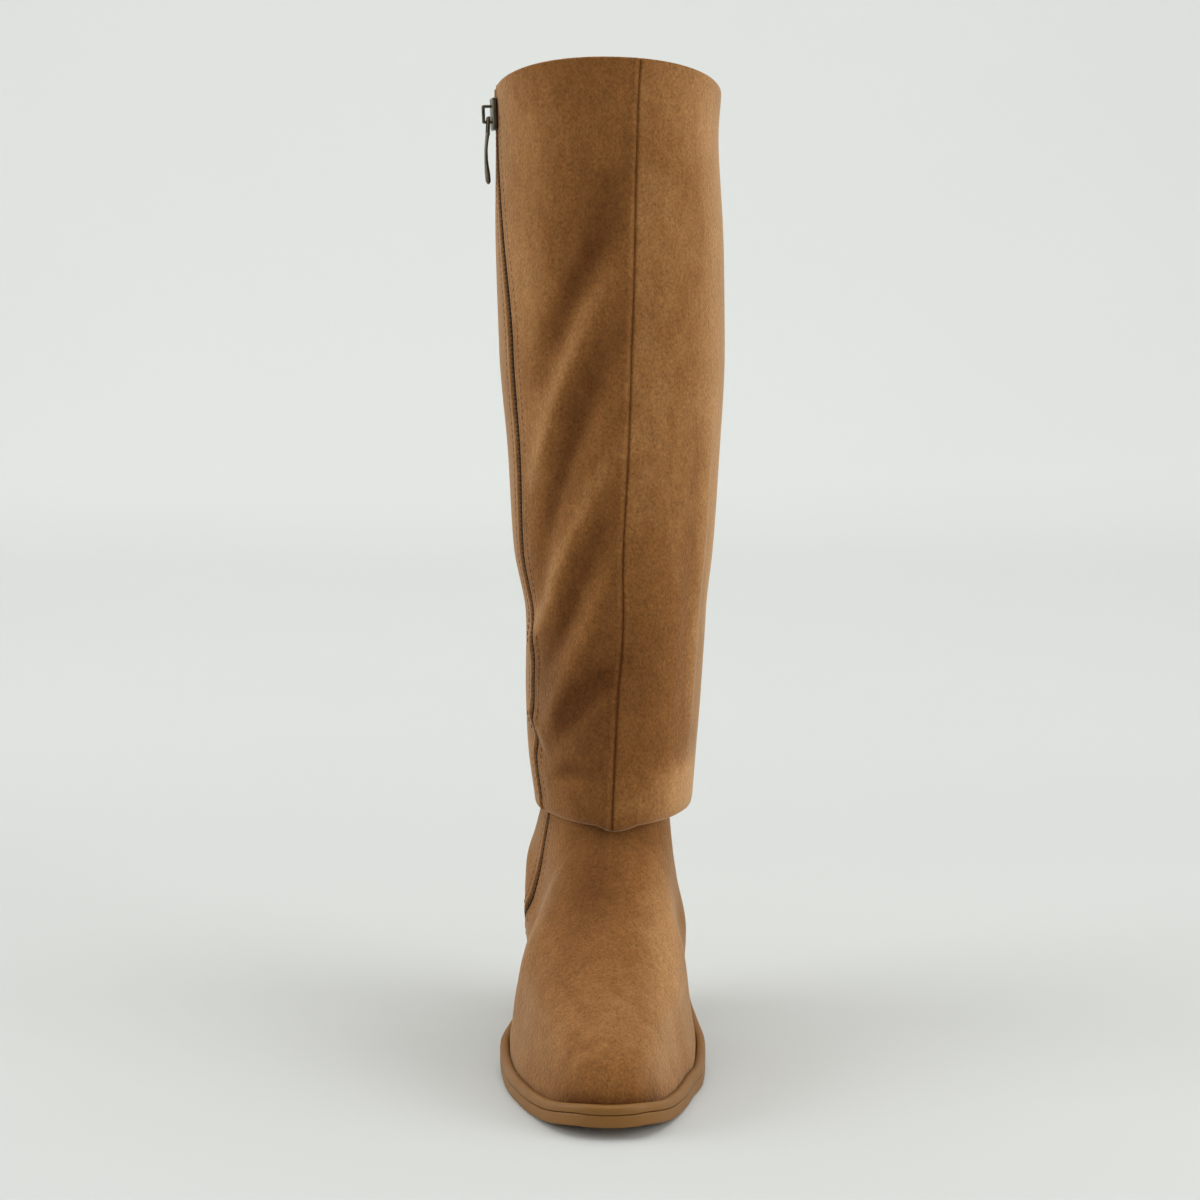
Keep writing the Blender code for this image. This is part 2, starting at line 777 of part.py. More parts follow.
def make_pull(collection):
    """The pull hangs straight down from the slider's bridge, with its origin on its hinge."""
    _, hinge, _, out = slider_frame()
    level_out = Vector((out.x, out.y, 0)).normalized()
    curve = bpy.data.curves.new("zip_pull", "CURVE")
    curve.dimensions = "2D"
    curve.fill_mode = "BOTH"
    curve.extrude = PULL_THICK / 2 * MM
    right = [(row.half, row.down) for row in PULL_ROWS]
    left = [(-across, down) for across, down in reversed(right)]
    flat_outline(curve, right + left)
    eye_half = PULL_EYE[0] / 2
    eye_top = PULL_BAR / 2
    eye_end = eye_top + PULL_EYE[1]
    eye = [(eye_half, eye_top), (eye_half, eye_end), (-eye_half, eye_end), (-eye_half, eye_top)]
    flat_outline(curve, eye)
    curve.materials.append(material_of(BRONZE))
    pull = bpy.data.objects.new("zip_pull", curve)
    collection.objects.link(pull)
    pull.matrix_world = to_frame(hinge_point(), hinge, Vector((0, 0, -1)), level_out)


def clear_scene():
    for old in list(bpy.data.objects):
        bpy.data.objects.remove(old)


def main():
    clear_scene()
    boot = collection_named("tall_boot")
    cutters = collection_named("cutters")
    make_outsole(boot)
    make_welt(boot)
    make_insole(boot)
    make_heel(boot)
    make_heel_lift(boot)
    make_upper(boot)
    make_shaft(boot)
    make_chains(boot)
    make_slider(boot, cutters)
    make_pull(boot)


main()
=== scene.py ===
"""Looks of the tall left boot: napped suede with creases, a gum rubber sole, a bronze zip and a lining.

Foot, leg, sole and heel repeat the part's own tables, in millimetres and degrees, on finer grids. The welt,
the collar's edge and the pull have rounder sections of their own. Every ring round the boot is read by an
angle: 0 is the back, 90 the outer side, 180 the front and 270 the inner side. A turn is counted from the
front, towards the inner side.
"""

import json
import math
from collections import namedtuple

import bpy
import numpy as np
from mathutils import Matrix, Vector


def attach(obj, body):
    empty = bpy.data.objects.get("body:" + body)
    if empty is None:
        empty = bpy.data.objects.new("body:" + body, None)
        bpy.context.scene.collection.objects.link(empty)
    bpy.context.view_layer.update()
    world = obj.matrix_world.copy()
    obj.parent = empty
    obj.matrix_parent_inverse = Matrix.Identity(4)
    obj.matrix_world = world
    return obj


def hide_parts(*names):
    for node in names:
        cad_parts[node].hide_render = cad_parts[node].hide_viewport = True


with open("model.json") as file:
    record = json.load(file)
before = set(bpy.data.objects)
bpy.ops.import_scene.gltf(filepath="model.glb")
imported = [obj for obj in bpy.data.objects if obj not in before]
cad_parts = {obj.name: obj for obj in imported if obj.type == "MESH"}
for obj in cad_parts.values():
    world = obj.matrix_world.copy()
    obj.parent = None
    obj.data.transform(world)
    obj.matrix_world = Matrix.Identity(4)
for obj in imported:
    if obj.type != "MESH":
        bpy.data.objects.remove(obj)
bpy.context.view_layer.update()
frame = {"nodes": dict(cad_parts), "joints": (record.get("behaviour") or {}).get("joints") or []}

MM = 0.001

# Driving sizes, the same as the solids have
FOOT_LENGTH = 228.0
HEEL_BACK = 30.0
BALL_WIDTH = 84.6
HEEL_HEIGHT = 55.5
TOE_FEATHER = 11.1
INSTEP_HEIGHT = 116.9
QUARTER_HEIGHT = 68.7
HEEL_ROUNDNESS = 2.4
ANKLE_CENTRE = 2.0
ANKLE_HALF = 29.0
WALL = 2.0
GAP = 0.3
LAP_GAP = 0.4
SEAT_GAP = 0.45
INSOLE_GAP = 0.75
INSOLE_THICK = 3.0
WELT_WIDTH = 4.5
HEEL_LIFT_THICK = 6.0
HEEL_WIDEST = 2.0
HEEL_BREAST_SQUARENESS = 6.0
LEG_ROUNDNESS = 2.15
SEAM_FADE = 75.0
SEAM_CLEAR = 8.0
SIDE_CROWDING = 12.0
SWELL_REACH = 40.0
FRONT = 180.0
BACK = 0.0
ZIP = 263.0
CHANNEL_DEPTH = 1.5
CHANNEL_FOOT_END = 3.0
CHAIN_HALF = 3.0
CHAIN_FOOT_ENDS = (3.1, 9.0)
WAVE_FROM = 7.0

# Resolution of the fine grids
PLAIN_COLUMNS = 228
SEAM_STEP = 0.5
SEAM_REACH = 6.0
ROW_STEP = 1.7
LEVEL_SAMPLES = 4000
UPPER_ROWS_FINE = 116
LINING_COLUMNS = 120
LEG_LINING_ROWS = 70
FOOT_LINING_ROWS = 40
HEEL_COLUMNS = 128
HEEL_SIDE_ROWS = 26
ZIP_SAMPLES = 3000
PULL_STEPS = 40
STRAP_STEPS = 8

Outline = namedtuple("Outline", "along centre half")
OUTLINE_ROWS = (
    Outline(0.00, 0.0, 0.658),
    Outline(0.12, 0.0, 0.705),
    Outline(0.25, 1.0, 0.690),
    Outline(0.37, 1.5, 0.731),
    Outline(0.45, 0.0, 0.775),
    Outline(0.51, -3.0, 0.905),
    Outline(0.57, -4.5, 1.000),
    Outline(0.68, -4.9, 0.955),
    Outline(0.76, -5.9, 0.875),
    Outline(0.85, -5.8, 0.790),
    Outline(0.94, -5.5, 0.700),
    Outline(1.00, -4.8, 0.620),
)

Sole = namedtuple("Sole", "along rise thick")
SOLE_ROWS = (
    Sole(0.00, 1.00, 4.5),
    Sole(0.12, 0.970, 4.5),
    Sole(0.24, 0.925, 4.5),
    Sole(0.33, 0.70, 4.5),
    Sole(0.42, 0.430, 4.8),
    Sole(0.50, 0.225, 5.2),
    Sole(0.57, 0.085, 5.5),
    Sole(0.64, 0.015, 5.5),
    Sole(0.69, 0.000, 5.5),
    Sole(0.82, 0.000, 5.5),
    Sole(0.91, 0.022, 5.5),
    Sole(1.00, 0.095, 5.5),
)

Upper = namedtuple(
    "Upper", "front front_rise bulge back_rise follow narrow taper swell swell_at lean blunt zip_turn"
)
UPPER_ROWS = (
    Upper(1.000, 0.000, 0.0, 0.000, 1.00, 0.00, 0.0, 0.0, -58, 0.0, 3.0, 19.0),
    Upper(1.000, 0.039, 0.0, 0.065, 1.00, 0.00, 0.0, 0.0, -58, 0.0, 3.0, 20.0),
    Upper(0.996, 0.093, 2.5, 0.170, 0.90, 0.00, 2.2, 3.5, -54, -0.5, 3.0, 21.0),
    Upper(0.976, 0.159, 4.0, 0.272, 0.75, 0.03, 4.4, 10.0, -50, -1.8, 3.0, 20.0),
    Upper(0.925, 0.220, 4.5, 0.374, 0.58, 0.08, 5.4, 13.5, -45, -2.8, 3.0, 16.8),
    Upper(0.846, 0.285, 4.0, 0.476, 0.40, 0.16, 5.4, 14.0, -40, -3.8, 2.7, 12.0),
    Upper(0.746, 0.381, 3.0, 0.578, 0.25, 0.28, 5.0, 14.0, -32, -4.2, 2.5, 5.0),
    Upper(0.640, 0.512, 1.5, 0.680, 0.12, 0.45, 4.6, 12.0, -28, -3.2, 2.4, -2.0),
    Upper(0.548, 0.669, 0.0, 0.782, 0.05, 0.65, 3.0, 8.0, -24, -2.2, 2.3, -8.0),
    Upper(0.474, 0.834, -1.0, 0.884, 0.00, 0.85, 1.0, 2.0, -20, -1.0, 2.2, -13.0),
    Upper(0.430, 1.000, -1.5, 1.000, 0.00, 1.00, 0.0, 0.0, -20, 0.0, 2.1, -16.0),
)
TOP_LEVEL = len(UPPER_ROWS) - 1

Leg = namedtuple("Leg", "height tilt roll centre half front back seam_turn zip_turn")
LEG_ROWS = (
    Leg(443.2, 13.2, -1.0, 2.0, 53.4, -66.0, 58.0, -11.3, -2.2),
    Leg(422, 12.0, -1.0, 1.7, 52.5, -67.0, 59.5, -10.5, -4.3),
    Leg(372, 8.0, -0.5, 2.9, 54.0, -69.0, 61.0, -7.8, -15.1),
    Leg(325, 4.0, 0.0, 3.9, 53.6, -71.0, 60.0, -5.5, -21.7),
    Leg(277, 1.0, 0.0, 4.6, 50.4, -73.5, 55.0, -3.3, -20.7),
    Leg(232, 0.0, 0.0, 4.2, 47.4, -77.0, 49.0, -1.5, -18.2),
    Leg(200, 0.0, 0.0, 5.2, 42.8, -79.5, 45.0, -0.5, -17.7),
    Leg(165, 0.0, 0.0, 3.9, 41.7, -83.5, 42.0, 1.0, -17.7),
    Leg(135, 0.0, 0.0, 3.2, 39.9, -86.5, 40.0, 2.0, -17.7),
    Leg(113, 0.0, 0.0, 3.7, 37.7, -87.0, 38.5, 4.0, -17.7),
)
LOWEST_LEVEL = len(LEG_ROWS) - 1

Wave = namedtuple("Wave", "angle rise")
WAVE_ROWS = (
    Wave(0, 2.0),
    Wave(90, 2.0),
    Wave(130, 4.5),
    Wave(165, 3.5),
    Wave(183, 0.0),
    Wave(197, 3.5),
    Wave(230, 4.5),
    Wave(270, 2.0),
    Wave(360, 2.0),
)

# The fold's roll from the leg (part 0) to the edge turned up inside it (part 1)
Fold = namedtuple("Fold", "part over drop")
FOLD_ROWS = (
    Fold(0.00, 0.00, 0.0),
    Fold(0.25, 0.08, 4.2),
    Fold(0.50, 0.30, 7.0),
    Fold(0.75, 0.60, 5.6),
    Fold(1.00, 1.00, 0.0),
)
FOLD_STEPS = 18
RETURN_LEVELS = (9.4, 9.6, 9.8, 10.0)
# Painted shade on the edge turned up under the fold
RETURN_SHADE = -0.3

# Where the linings end, in levels
LEG_LINING_ENDS = (0.25, LOWEST_LEVEL - 0.35)
FOOT_LINING_END = 0.8

# The collar's edge: up from the top ring, and in from its outside
Lip = namedtuple("Lip", "up inside")
LIP_ROWS = (
    Lip(0.30, 0.05),
    Lip(0.70, 0.35),
    Lip(0.90, 0.85),
    Lip(0.85, 1.35),
    Lip(0.50, 1.80),
    Lip(-0.20, 2.05),
    Lip(-5.00, 2.00),
    Lip(-11.0, 1.90),
    Lip(-17.0, 1.80),
)

# Creases of the leg, from one end to the other: a ridge has a rise over 0 and a trough one below
Crease = namedtuple("Crease", "turn height end_turn end_height bow reach rise")
CREASE_ROWS = (
    Crease(-7, 414, 6, 370, 0, 8.0, -1.8),
    Crease(1, 378, 39, 311, 3, 7.0, -2.5),
    Crease(2, 357, 49, 265, 0, 5.5, 1.6),
    Crease(-3, 333, 49, 219, 5, 7.0, -2.7),
    Crease(-3, 286, 48, 203, -4, 5.5, 1.5),
    Crease(44, 209, 80, 184, -3, 6.0, 1.4),
    Crease(0, 252, 52, 177, -4, 7.0, -2.4),
    Crease(8, 216, 52, 150, -4, 5.5, 1.1),
    Crease(-2, 182, 42, 145, 3, 7.5, -2.0),
    Crease(54, 148, 80, 160, 2, 4.0, 1.2),
    Crease(52, 139, 80, 147, 2, 4.5, -1.4),
    Crease(14, 131, 46, 128, 3, 4.5, -1.2),
    Crease(-56, 300, -52, 140, 2, 3.5, 0.9),
    Crease(-44, 290, -43, 150, 2, 6.0, -0.8),
    Crease(-22, 124, -62, 130, 2, 6.0, 0.9),
    Crease(150, 196, 214, 190, 3, 7.0, 1.8),
    Crease(146, 178, 210, 172, -3, 7.0, -2.0),
    Crease(140, 156, 216, 150, 3, 7.0, 1.6),
    Crease(-100, 178, -150, 166, 3, 7.0, 1.4),
    Crease(-96, 160, -140, 150, 3, 7.0, -1.5),
)
MM_PER_DEGREE = 1.0
CREASE_STEPS = 10
CREASE_ENDS = (0.1, 0.9)
SHADE_STEP = 1.2
# How strongly painted light and shade follow a crease's slope, and its rise: ridges lighter, troughs darker
SLOPE_SHADE = 0.56
RISE_SHADE = 0.10

# The nap to the outer and to the inner side of the front seam, and how many degrees it reaches
PANEL_NAP = (0.10, -0.08)
PANEL_END = 130.0
PANEL_FADE = 70.0
PANEL_INNER_REACH = 45.0

# Soft ridges and grooves along a line: how far across it, their reach and their rise (below 0 for a groove)
Stroke = namedtuple("Stroke", "across reach rise")
SEAM_STROKES = (
    Stroke(0.0, 0.5, -0.60),
    Stroke(1.75, 1.1, 0.50),
    Stroke(-1.7, 1.2, 0.15),
)

# Painted shade in a seam's groove and a painted highlight on its piped ridge, in the same columns, with the
# shade as the rise
SEAM_PAINTED_LIGHT = (
    Stroke(0.0, 0.6, -0.34),
    Stroke(1.8, 0.9, 0.14),
)

# The zip as drawn: the slit with its lips, then the tape, the teeth and the stitches beside it
SLIT_HALF = 1.9
CHANNEL_SLOPE = 0.9
CHANNEL_FLOOR = GAP - CHANNEL_DEPTH
CHANNEL_LIP = Stroke(1.8, 0.9, 0.22)
CHANNEL_END_FADE = 0.25
CHAIN_TOP_LEVEL = 0.78
Tape = namedtuple("Tape", "across up")
TAPE_SECTION = (
    Tape(-CHAIN_HALF, 0.1),
    Tape(-1.4, 0.35),
    Tape(0.0, 0.4),
    Tape(1.4, 0.35),
    Tape(CHAIN_HALF, 0.1),
)
TAPE_PITCH = 2.5
Block = namedtuple("Block", "width length height taper")
TOOTH = Block(2.3, 0.9, 0.9, 0.7)
TOOTH_PITCH = 1.05
TOOTH_SIDE = 0.62
TOOTH_UP = 0.8
STITCH = Block(0.55, 2.3, 0.4, 0.7)
STITCH_PITCH = 3.1
STITCH_SIDE = 7.4
STITCH_UP = -0.04

# Soft patches of brushed nap and of painted light and shade, darker below 0: the middle of each, its reach
# and its shade
NapAndLight = namedtuple("NapAndLight", "x y z reach_x reach_y reach_z shade")
LIGHT_AND_NAP_ROWS = (
    NapAndLight(-6, -95, 90, 11, 26, 24, -0.24),
    NapAndLight(-14, -108, 76, 10, 22, 18, -0.14),
    # The next two rows: painted shade at the toe's foot, where the upper meets the welt
    NapAndLight(-14, -192, 13, 30, 14, 6, -0.46),
    NapAndLight(14, -188, 13, 6, 8, 5, -0.22),
    NapAndLight(24, -118, 60, 10, 44, 32, 0.42),
    NapAndLight(-32, -120, 52, 8, 40, 26, 0.06),
    NapAndLight(-4, -165, 40, 34, 26, 16, 0.08),
    NapAndLight(24, -172, 26, 14, 26, 16, 0.20),
    NapAndLight(-34, -56, 424, 18, 26, 16, 0.12),
    NapAndLight(-8, -72, 378, 14, 24, 22, -0.12),
    NapAndLight(-6, -84, 156, 22, 24, 34, -0.20),
    NapAndLight(4, -84, 172, 34, 26, 34, -0.10),
    NapAndLight(50, -34, 310, 8, 34, 150, 0.26),
    NapAndLight(14, -78, 190, 18, 24, 60, -0.18),
    NapAndLight(-44, -46, 380, 12, 34, 70, 0.16),
    NapAndLight(-36, -60, 320, 10, 30, 60, 0.16),
    NapAndLight(36, -62, 122, 18, 24, 11, 0.75),
    NapAndLight(-28, -66, 168, 14, 24, 22, -0.22),
    NapAndLight(44, -44, 428, 12, 30, 20, 0.18),
)

# Soft fills where the quarters run into the vamp: the middle of each, its reach and its rise
Fill = namedtuple("Fill", "x y z reach_x reach_y reach_z rise")
FILL_ROWS = (
    Fill(-38, -74, 56, 20, 24, 12, 1.3),
    Fill(34, -80, 50, 20, 24, 12, 0.8),
)

# The welt's section: out from the upper and up from the sole
Section = namedtuple("Section", "out up")
WELT_SECTION = (
    Section(LAP_GAP, GAP),
    Section(4.16, GAP),
    Section(4.42, 0.44),
    Section(4.50, 0.75),
    Section(4.52, 2.00),
    Section(4.36, 2.90),
    Section(3.80, 3.62),
    Section(2.95, 4.02),
    Section(2.00, 4.12),
    Section(1.10, 3.98),
    Section(LAP_GAP, 3.70),
)

Heel = namedtuple("Heel", "down breast back half")
HEEL_ROWS = (
    Heel(0.00, -21.0, 32.5, 30.5),
    Heel(0.35, -22.0, 29.0, 29.0),
    Heel(0.70, -22.8, 25.8, 27.9),
    Heel(1.00, -23.5, 23.5, 27.5),
)

# The heel's side between its edges, as parts of the way down, and how far in the edges lie
HEEL_SIDE = (0.012, 0.985)
HEEL_EDGE_INSET = 0.5

# The edge of the heel's top piece: its height over the floor and how far in it lies
Lift = namedtuple("Lift", "height inset")
LIFT_ROWS = (
    Lift(HEEL_LIFT_THICK, 0.4),
    Lift(5.6, 0.05),
    Lift(5.0, 0.0),
    Lift(1.2, 0.0),
    Lift(0.5, 0.2),
    Lift(0.0, 0.8),
)

# How far the insole's top edge is cut back
INSOLE_ROUNDING = 0.8

# The pull's tab: how far down from its hinge, half its width, half its thickness and its bow outwards
Pull = namedtuple("Pull", "down half thick bow")
PULL_ROWS = (
    Pull(6.8, 3.0, 0.72, 0.30),
    Pull(8.0, 3.2, 0.78, 0.42),
    Pull(9.6, 2.8, 0.78, 0.62),
    Pull(11.6, 2.2, 0.74, 0.85),
    Pull(15.0, 2.1, 0.72, 1.10),
    Pull(19.0, 2.3, 0.78, 1.05),
    Pull(23.0, 2.8, 0.95, 0.75),
    Pull(26.0, 3.2, 1.12, 0.45),
    Pull(28.6, 3.0, 1.12, 0.22),
    Pull(30.0, 2.0, 0.85, 0.10),
    Pull(30.6, 0.6, 0.30, 0.05),
)
PULL_EYE_LENGTH = 6.9
STRAP_OUT = 2.62
STRAP_HALF = 0.68
STRAP_THICK = 0.72
STRAP_LAP = 1.2
PULL_BAR_RADIUS = 0.7
PULL_BAR_HALF = 3.1
PULL_BAR_PLACES = (-1, -0.92, 0.92, 1)
PULL_BAR_GIRTHS = (0.75, 1, 1, 0.75)
SLIDER_WELD = 0.01
SLIDER_ROUNDING = 0.40
SLIDER_ROUNDING_STEPS = 3


# Curves through tables

def smooth(places, values):
    """A curve through the values that never overshoots them, for whole arrays."""
    places = np.array(places, float)
    values = np.array(values, float)
    steps = np.diff(places)
    slopes = np.diff(values) / steps
    tangents = np.zeros(len(places))
    tangents[0] = slopes[0]
    tangents[-1] = slopes[-1]
    for k in range(1, len(slopes)):
        before = slopes[k - 1]
        after = slopes[k]
        if before * after > 0:
            tangents[k] = 2 * before * after / (before + after)

    def curve(at):
        at = np.clip(at, places[0], places[-1])
        row = np.clip(np.searchsorted(places, at, side="right") - 1, 0, len(steps) - 1)
        part = (at - places[row]) / steps[row]
        start = values[row] + (values[row] - values[row + 1]) * part * part * (2 * part - 3)
        lift = tangents[row] * (1 - part) - tangents[row + 1] * part
        return start + lift * steps[row] * part * (1 - part)

    return curve


def columns_of(rows, places=None):
    """Each column of a table as a curve over its places, or over the row's number."""
    table = {name: [getattr(row, name) for row in rows] for name in rows[0]._fields}
    along = table[places] if places else list(range(len(rows)))
    return {name: smooth(along, table[name]) for name in table}


OUTLINE = columns_of(OUTLINE_ROWS, "along")
SOLE = columns_of(SOLE_ROWS, "along")
UPPER = columns_of(UPPER_ROWS)
LEG = columns_of(LEG_ROWS)
WAVE = columns_of(WAVE_ROWS, "angle")
FOLD = columns_of(FOLD_ROWS, "part")
HEEL = columns_of(HEEL_ROWS, "down")
PULL = columns_of(PULL_ROWS, "down")


def blend(a, b, part):
    return a + (b - a) * part


def bump(distance, reach):
    return np.exp(-((distance / reach) ** 2))


def ease(part):
    part = np.clip(part, 0, 1)
    return part * part * (3 - 2 * part)


def round_ring(angle, front_power, back_power):
    """How far back (-1 front, 1 back) and how far out a superellipse is at an angle."""
    turn = np.radians(angle)
    back = np.cos(turn)
    power = np.where(back > 0, back_power, front_power)
    out = np.maximum(0.0, 1 - np.abs(back) ** power) ** (1 / power)
    return back, np.copysign(out, np.sin(turn))


def points_from(x, y, z):
    return np.stack(np.broadcast_arrays(x, y, z), axis=-1)


def along_of(y):
    return (HEEL_BACK - y) / FOOT_LENGTH


def sole_under(y):
    return HEEL_HEIGHT * SOLE["rise"](along_of(y))


def sole_top(y):
    return sole_under(y) + SOLE["thick"](along_of(y))


def upper_points(angle, level):
    """Points on the outside of the upper: level 0 is on the sole and 10 is the ankle."""
    row = {name: curve(level) for name, curve in UPPER.items()}
    back, out = round_ring(angle, row["blunt"], HEEL_ROUNDNESS)
    share = (1 + back) / 2
    y = blend(HEEL_BACK - row["front"] * FOOT_LENGTH, HEEL_BACK + row["bulge"], share)
    along = along_of(y)
    quarter = bump(y - row["swell_at"], SWELL_REACH)
    foot_half = OUTLINE["half"](along) * BALL_WIDTH / 2 + row["swell"] * quarter - row["taper"]
    half = blend(foot_half, ANKLE_HALF, row["narrow"])
    centre = blend(OUTLINE["centre"](along), ANKLE_CENTRE, row["narrow"]) + row["lean"] * quarter
    heel_seat = sole_top(HEEL_BACK) + SEAT_GAP
    front_z = TOE_FEATHER + row["front_rise"] * INSTEP_HEIGHT
    back_z = heel_seat + row["back_rise"] * QUARTER_HEIGHT
    sole_y = blend(HEEL_BACK - FOOT_LENGTH, HEEL_BACK, share)
    sag = sole_top(sole_y) + SEAT_GAP - blend(TOE_FEATHER, heel_seat, share)
    z = blend(front_z, back_z, share) + row["follow"] * sag
    return points_from(centre + half * out, y, z)


def upper_zip(level):
    return ZIP + UPPER["zip_turn"](level)


def leg_points(angle, level):
    """Points on the outside of the leg: level 0 is the collar, then one for each section."""
    row = {name: curve(level) for name, curve in LEG.items()}
    back, out = round_ring(angle, LEG_ROUNDNESS, LEG_ROUNDNESS)
    x = row["centre"] + row["half"] * out
    y = blend(row["front"], row["back"], (1 + back) / 2)
    wave = np.maximum(0.0, (level - WAVE_FROM) / (LOWEST_LEVEL - WAVE_FROM)) * WAVE["rise"](angle % 360)
    z = row["height"] - row["tilt"] * back + row["roll"] * out + wave
    return points_from(x, y, z)


def leg_seam(level):
    return FRONT + LEG["seam_turn"](level)


def leg_zip(level):
    return ZIP + LEG["zip_turn"](level)


def straight_on(level):
    return FRONT + 0 * level


# Grids

def turn_between(angle, other):
    return (angle - other + 180) % 360 - 180


def fading(angle, line):
    return ease(1 - np.abs(turn_between(angle, line)) / SEAM_FADE)


def fine_columns():
    """Angle, distance across its line and the line of every column; plain ones have no line."""
    found = []
    for k in range(PLAIN_COLUMNS):
        angle = 360 * k / PLAIN_COLUMNS
        angle += SIDE_CROWDING * math.sin(math.radians(2 * angle))
        if all(abs(turn_between(angle, line)) > SEAM_CLEAR for line in (BACK, FRONT, ZIP)):
            found.append((angle, 0.0, -1.0))
    steps = np.arange(-SEAM_REACH, SEAM_REACH + SEAM_STEP / 2, SEAM_STEP)
    for line in (BACK, FRONT, ZIP):
        found += [(line, across, line) for across in steps]
    found.sort(key=lambda column: (column[0] % 360, column[1]))
    return tuple(np.array(values) for values in zip(*found))


COLUMN_ANGLE, COLUMN_ACROSS, COLUMN_LINE = fine_columns()


def column_angles(points, seam_at, zip_at, level):
    """The angle of every column on rows of levels, drawn round to where the seam and the zip run."""
    level = np.asarray(level, float).reshape(-1, 1)
    moved = COLUMN_ANGLE + fading(COLUMN_ANGLE, FRONT) * (seam_at(level) - FRONT)
    moved = moved + fading(COLUMN_ANGLE, ZIP) * (zip_at(level) - ZIP)
    return moved + COLUMN_ACROSS / speed_round(points, moved, level)


def speed_round(points, angle, level):
    """Millimetres along the wall for each degree."""
    step = 0.5
    ahead = points(angle + step, level) - points(angle - step, level)
    return np.linalg.norm(ahead, axis=-1) / (2 * step)


def outward(grid):
    """The side of a grid of rings that faces out where the rings run downwards."""
    across = np.roll(grid, -1, axis=1) - np.roll(grid, 1, axis=1)
    down = np.gradient(grid, axis=0)
    normal = np.cross(across, down)
    return normal / np.maximum(np.linalg.norm(normal, axis=-1, keepdims=True), 1e-9)


def crease_path(row):
    """Points along a crease in millimetres round the leg and up it."""
    part = np.linspace(0, 1, CREASE_STEPS + 1)
    turn = blend(row.turn, row.end_turn, part)
    height = blend(row.height, row.end_height, part) + row.bow * np.sin(math.pi * part)
    return list(zip(turn, height))


def crease_lift(turn, height):
    """How far the creases raise the leg's wall."""
    lift = np.zeros(np.broadcast(turn, height).shape)
    for row in CREASE_ROWS:
        path = crease_path(row)
        nearest = np.full(lift.shape, np.inf)
        strength = np.zeros(lift.shape)
        for k in range(CREASE_STEPS):
            (start_turn, start_height), (end_turn, end_height) = path[k], path[k + 1]
            run = (end_turn - start_turn) * MM_PER_DEGREE
            climb = end_height - start_height
            side = turn_between(turn, start_turn) * MM_PER_DEGREE
            above = height - start_height
            part = np.clip((side * run + above * climb) / (run * run + climb * climb), 0, 1)
            gap = np.hypot(side - part * run, above - part * climb)
            closer = gap < nearest
            nearest = np.where(closer, gap, nearest)
            fade = np.sin(math.pi * blend(*CREASE_ENDS, (k + part) / CREASE_STEPS))
            strength = np.where(closer, fade, strength)
        lift += row.rise * strength * bump(nearest, row.reach)
    return lift


def crease_painted_shade(turn, height):
    """Painted light on crease sides that face up and to the inner side, and painted shade on the others."""
    before = crease_lift(turn - SHADE_STEP, height - SHADE_STEP)
    after = crease_lift(turn + SHADE_STEP, height + SHADE_STEP)
    return (before - after) / (2 * SHADE_STEP * math.sqrt(2))


def stroke_sum(across, rows):
    """The sum of soft ridges and grooves, at a distance across their line."""
    return sum(row.rise * bump(across - row.across, row.reach) for row in rows)


def seam_lift(across):
    """A narrow groove with a piped ridge on one side and a low one on the other."""
    return stroke_sum(across, SEAM_STROKES)


def seam_painted_light(across):
    return stroke_sum(across, SEAM_PAINTED_LIGHT)


def channel_lift(across):
    """The zip's channel with a rounded lip at each edge."""
    beyond = np.abs(across) - SLIT_HALF
    channel = -CHANNEL_DEPTH * (1 - ease(beyond / CHANNEL_SLOPE))
    return channel + CHANNEL_LIP.rise * bump(beyond - CHANNEL_LIP.across, CHANNEL_LIP.reach)


def patches(grid, rows):
    """The sum of soft patches at every point of a grid."""
    total = np.zeros(grid.shape[:-1])
    for *middle_and_reach, strength in rows:
        near = (grid - np.array(middle_and_reach[:3])) / np.array(middle_and_reach[3:])
        total += strength * np.exp(-(near ** 2).sum(axis=-1))
    return total


# Meshes

def piece_from(name, grid, material, nap_and_light=None, closed=True, body="boot"):
    """A smooth mesh of quads over a grid of points in millimetres, closed round its columns."""
    rows, count = grid.shape[:2]
    index = np.arange(rows * count).reshape(rows, count)
    after = np.roll(index, -1, axis=1) if closed else index[:, 1:]
    here = index if closed else index[:, :-1]
    quads = np.stack([here[:-1], here[1:], after[1:], after[:-1]], axis=-1).reshape(-1, 4)
    return piece_of(name, grid.reshape(-1, 3), quads.tolist(), material, nap_and_light, body)


def piece_of(name, points, faces, material, nap_and_light=None, body="boot"):
    mesh = bpy.data.meshes.new(name)
    mesh.from_pydata((np.asarray(points) * MM).tolist(), [], faces)
    mesh.materials.append(material)
    mesh.shade_smooth()
    if nap_and_light is not None:
        values = np.ravel(nap_and_light).astype(np.float32)
        mesh.attributes.new("nap_and_light", "FLOAT", "POINT").data.foreach_set("value", values)
    made = bpy.data.objects.new(name, mesh)
    bpy.context.scene.collection.objects.link(made)
    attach(made, body)
    return made


def cap_faces(ring, first):
    """Triangles across a closed ring of points, from its back to its front."""
    count = len(ring)
    back = int(np.argmax(ring[:, 1]))
    order = [(back + k) % count for k in range(count)]
    front = int(np.argmin(ring[order, 1]))
    outer = order[:front + 1]
    inner = [order[0]] + order[:front - 1:-1]
    faces = []
    i = 0
    j = 0
    while i + j < len(outer) + len(inner) - 2:
        outer_y = ring[outer[i + 1], 1] if i + 1 < len(outer) else -math.inf
        inner_y = ring[inner[j + 1], 1] if j + 1 < len(inner) else -math.inf
        corners = [outer[i], inner[j]]
        if outer_y >= inner_y:
            i += 1
            corners.append(outer[i])
        else:
            j += 1
            corners.append(inner[j])
        if len(set(corners)) == 3:
            faces.append([first + corner for corner in corners])
    return faces


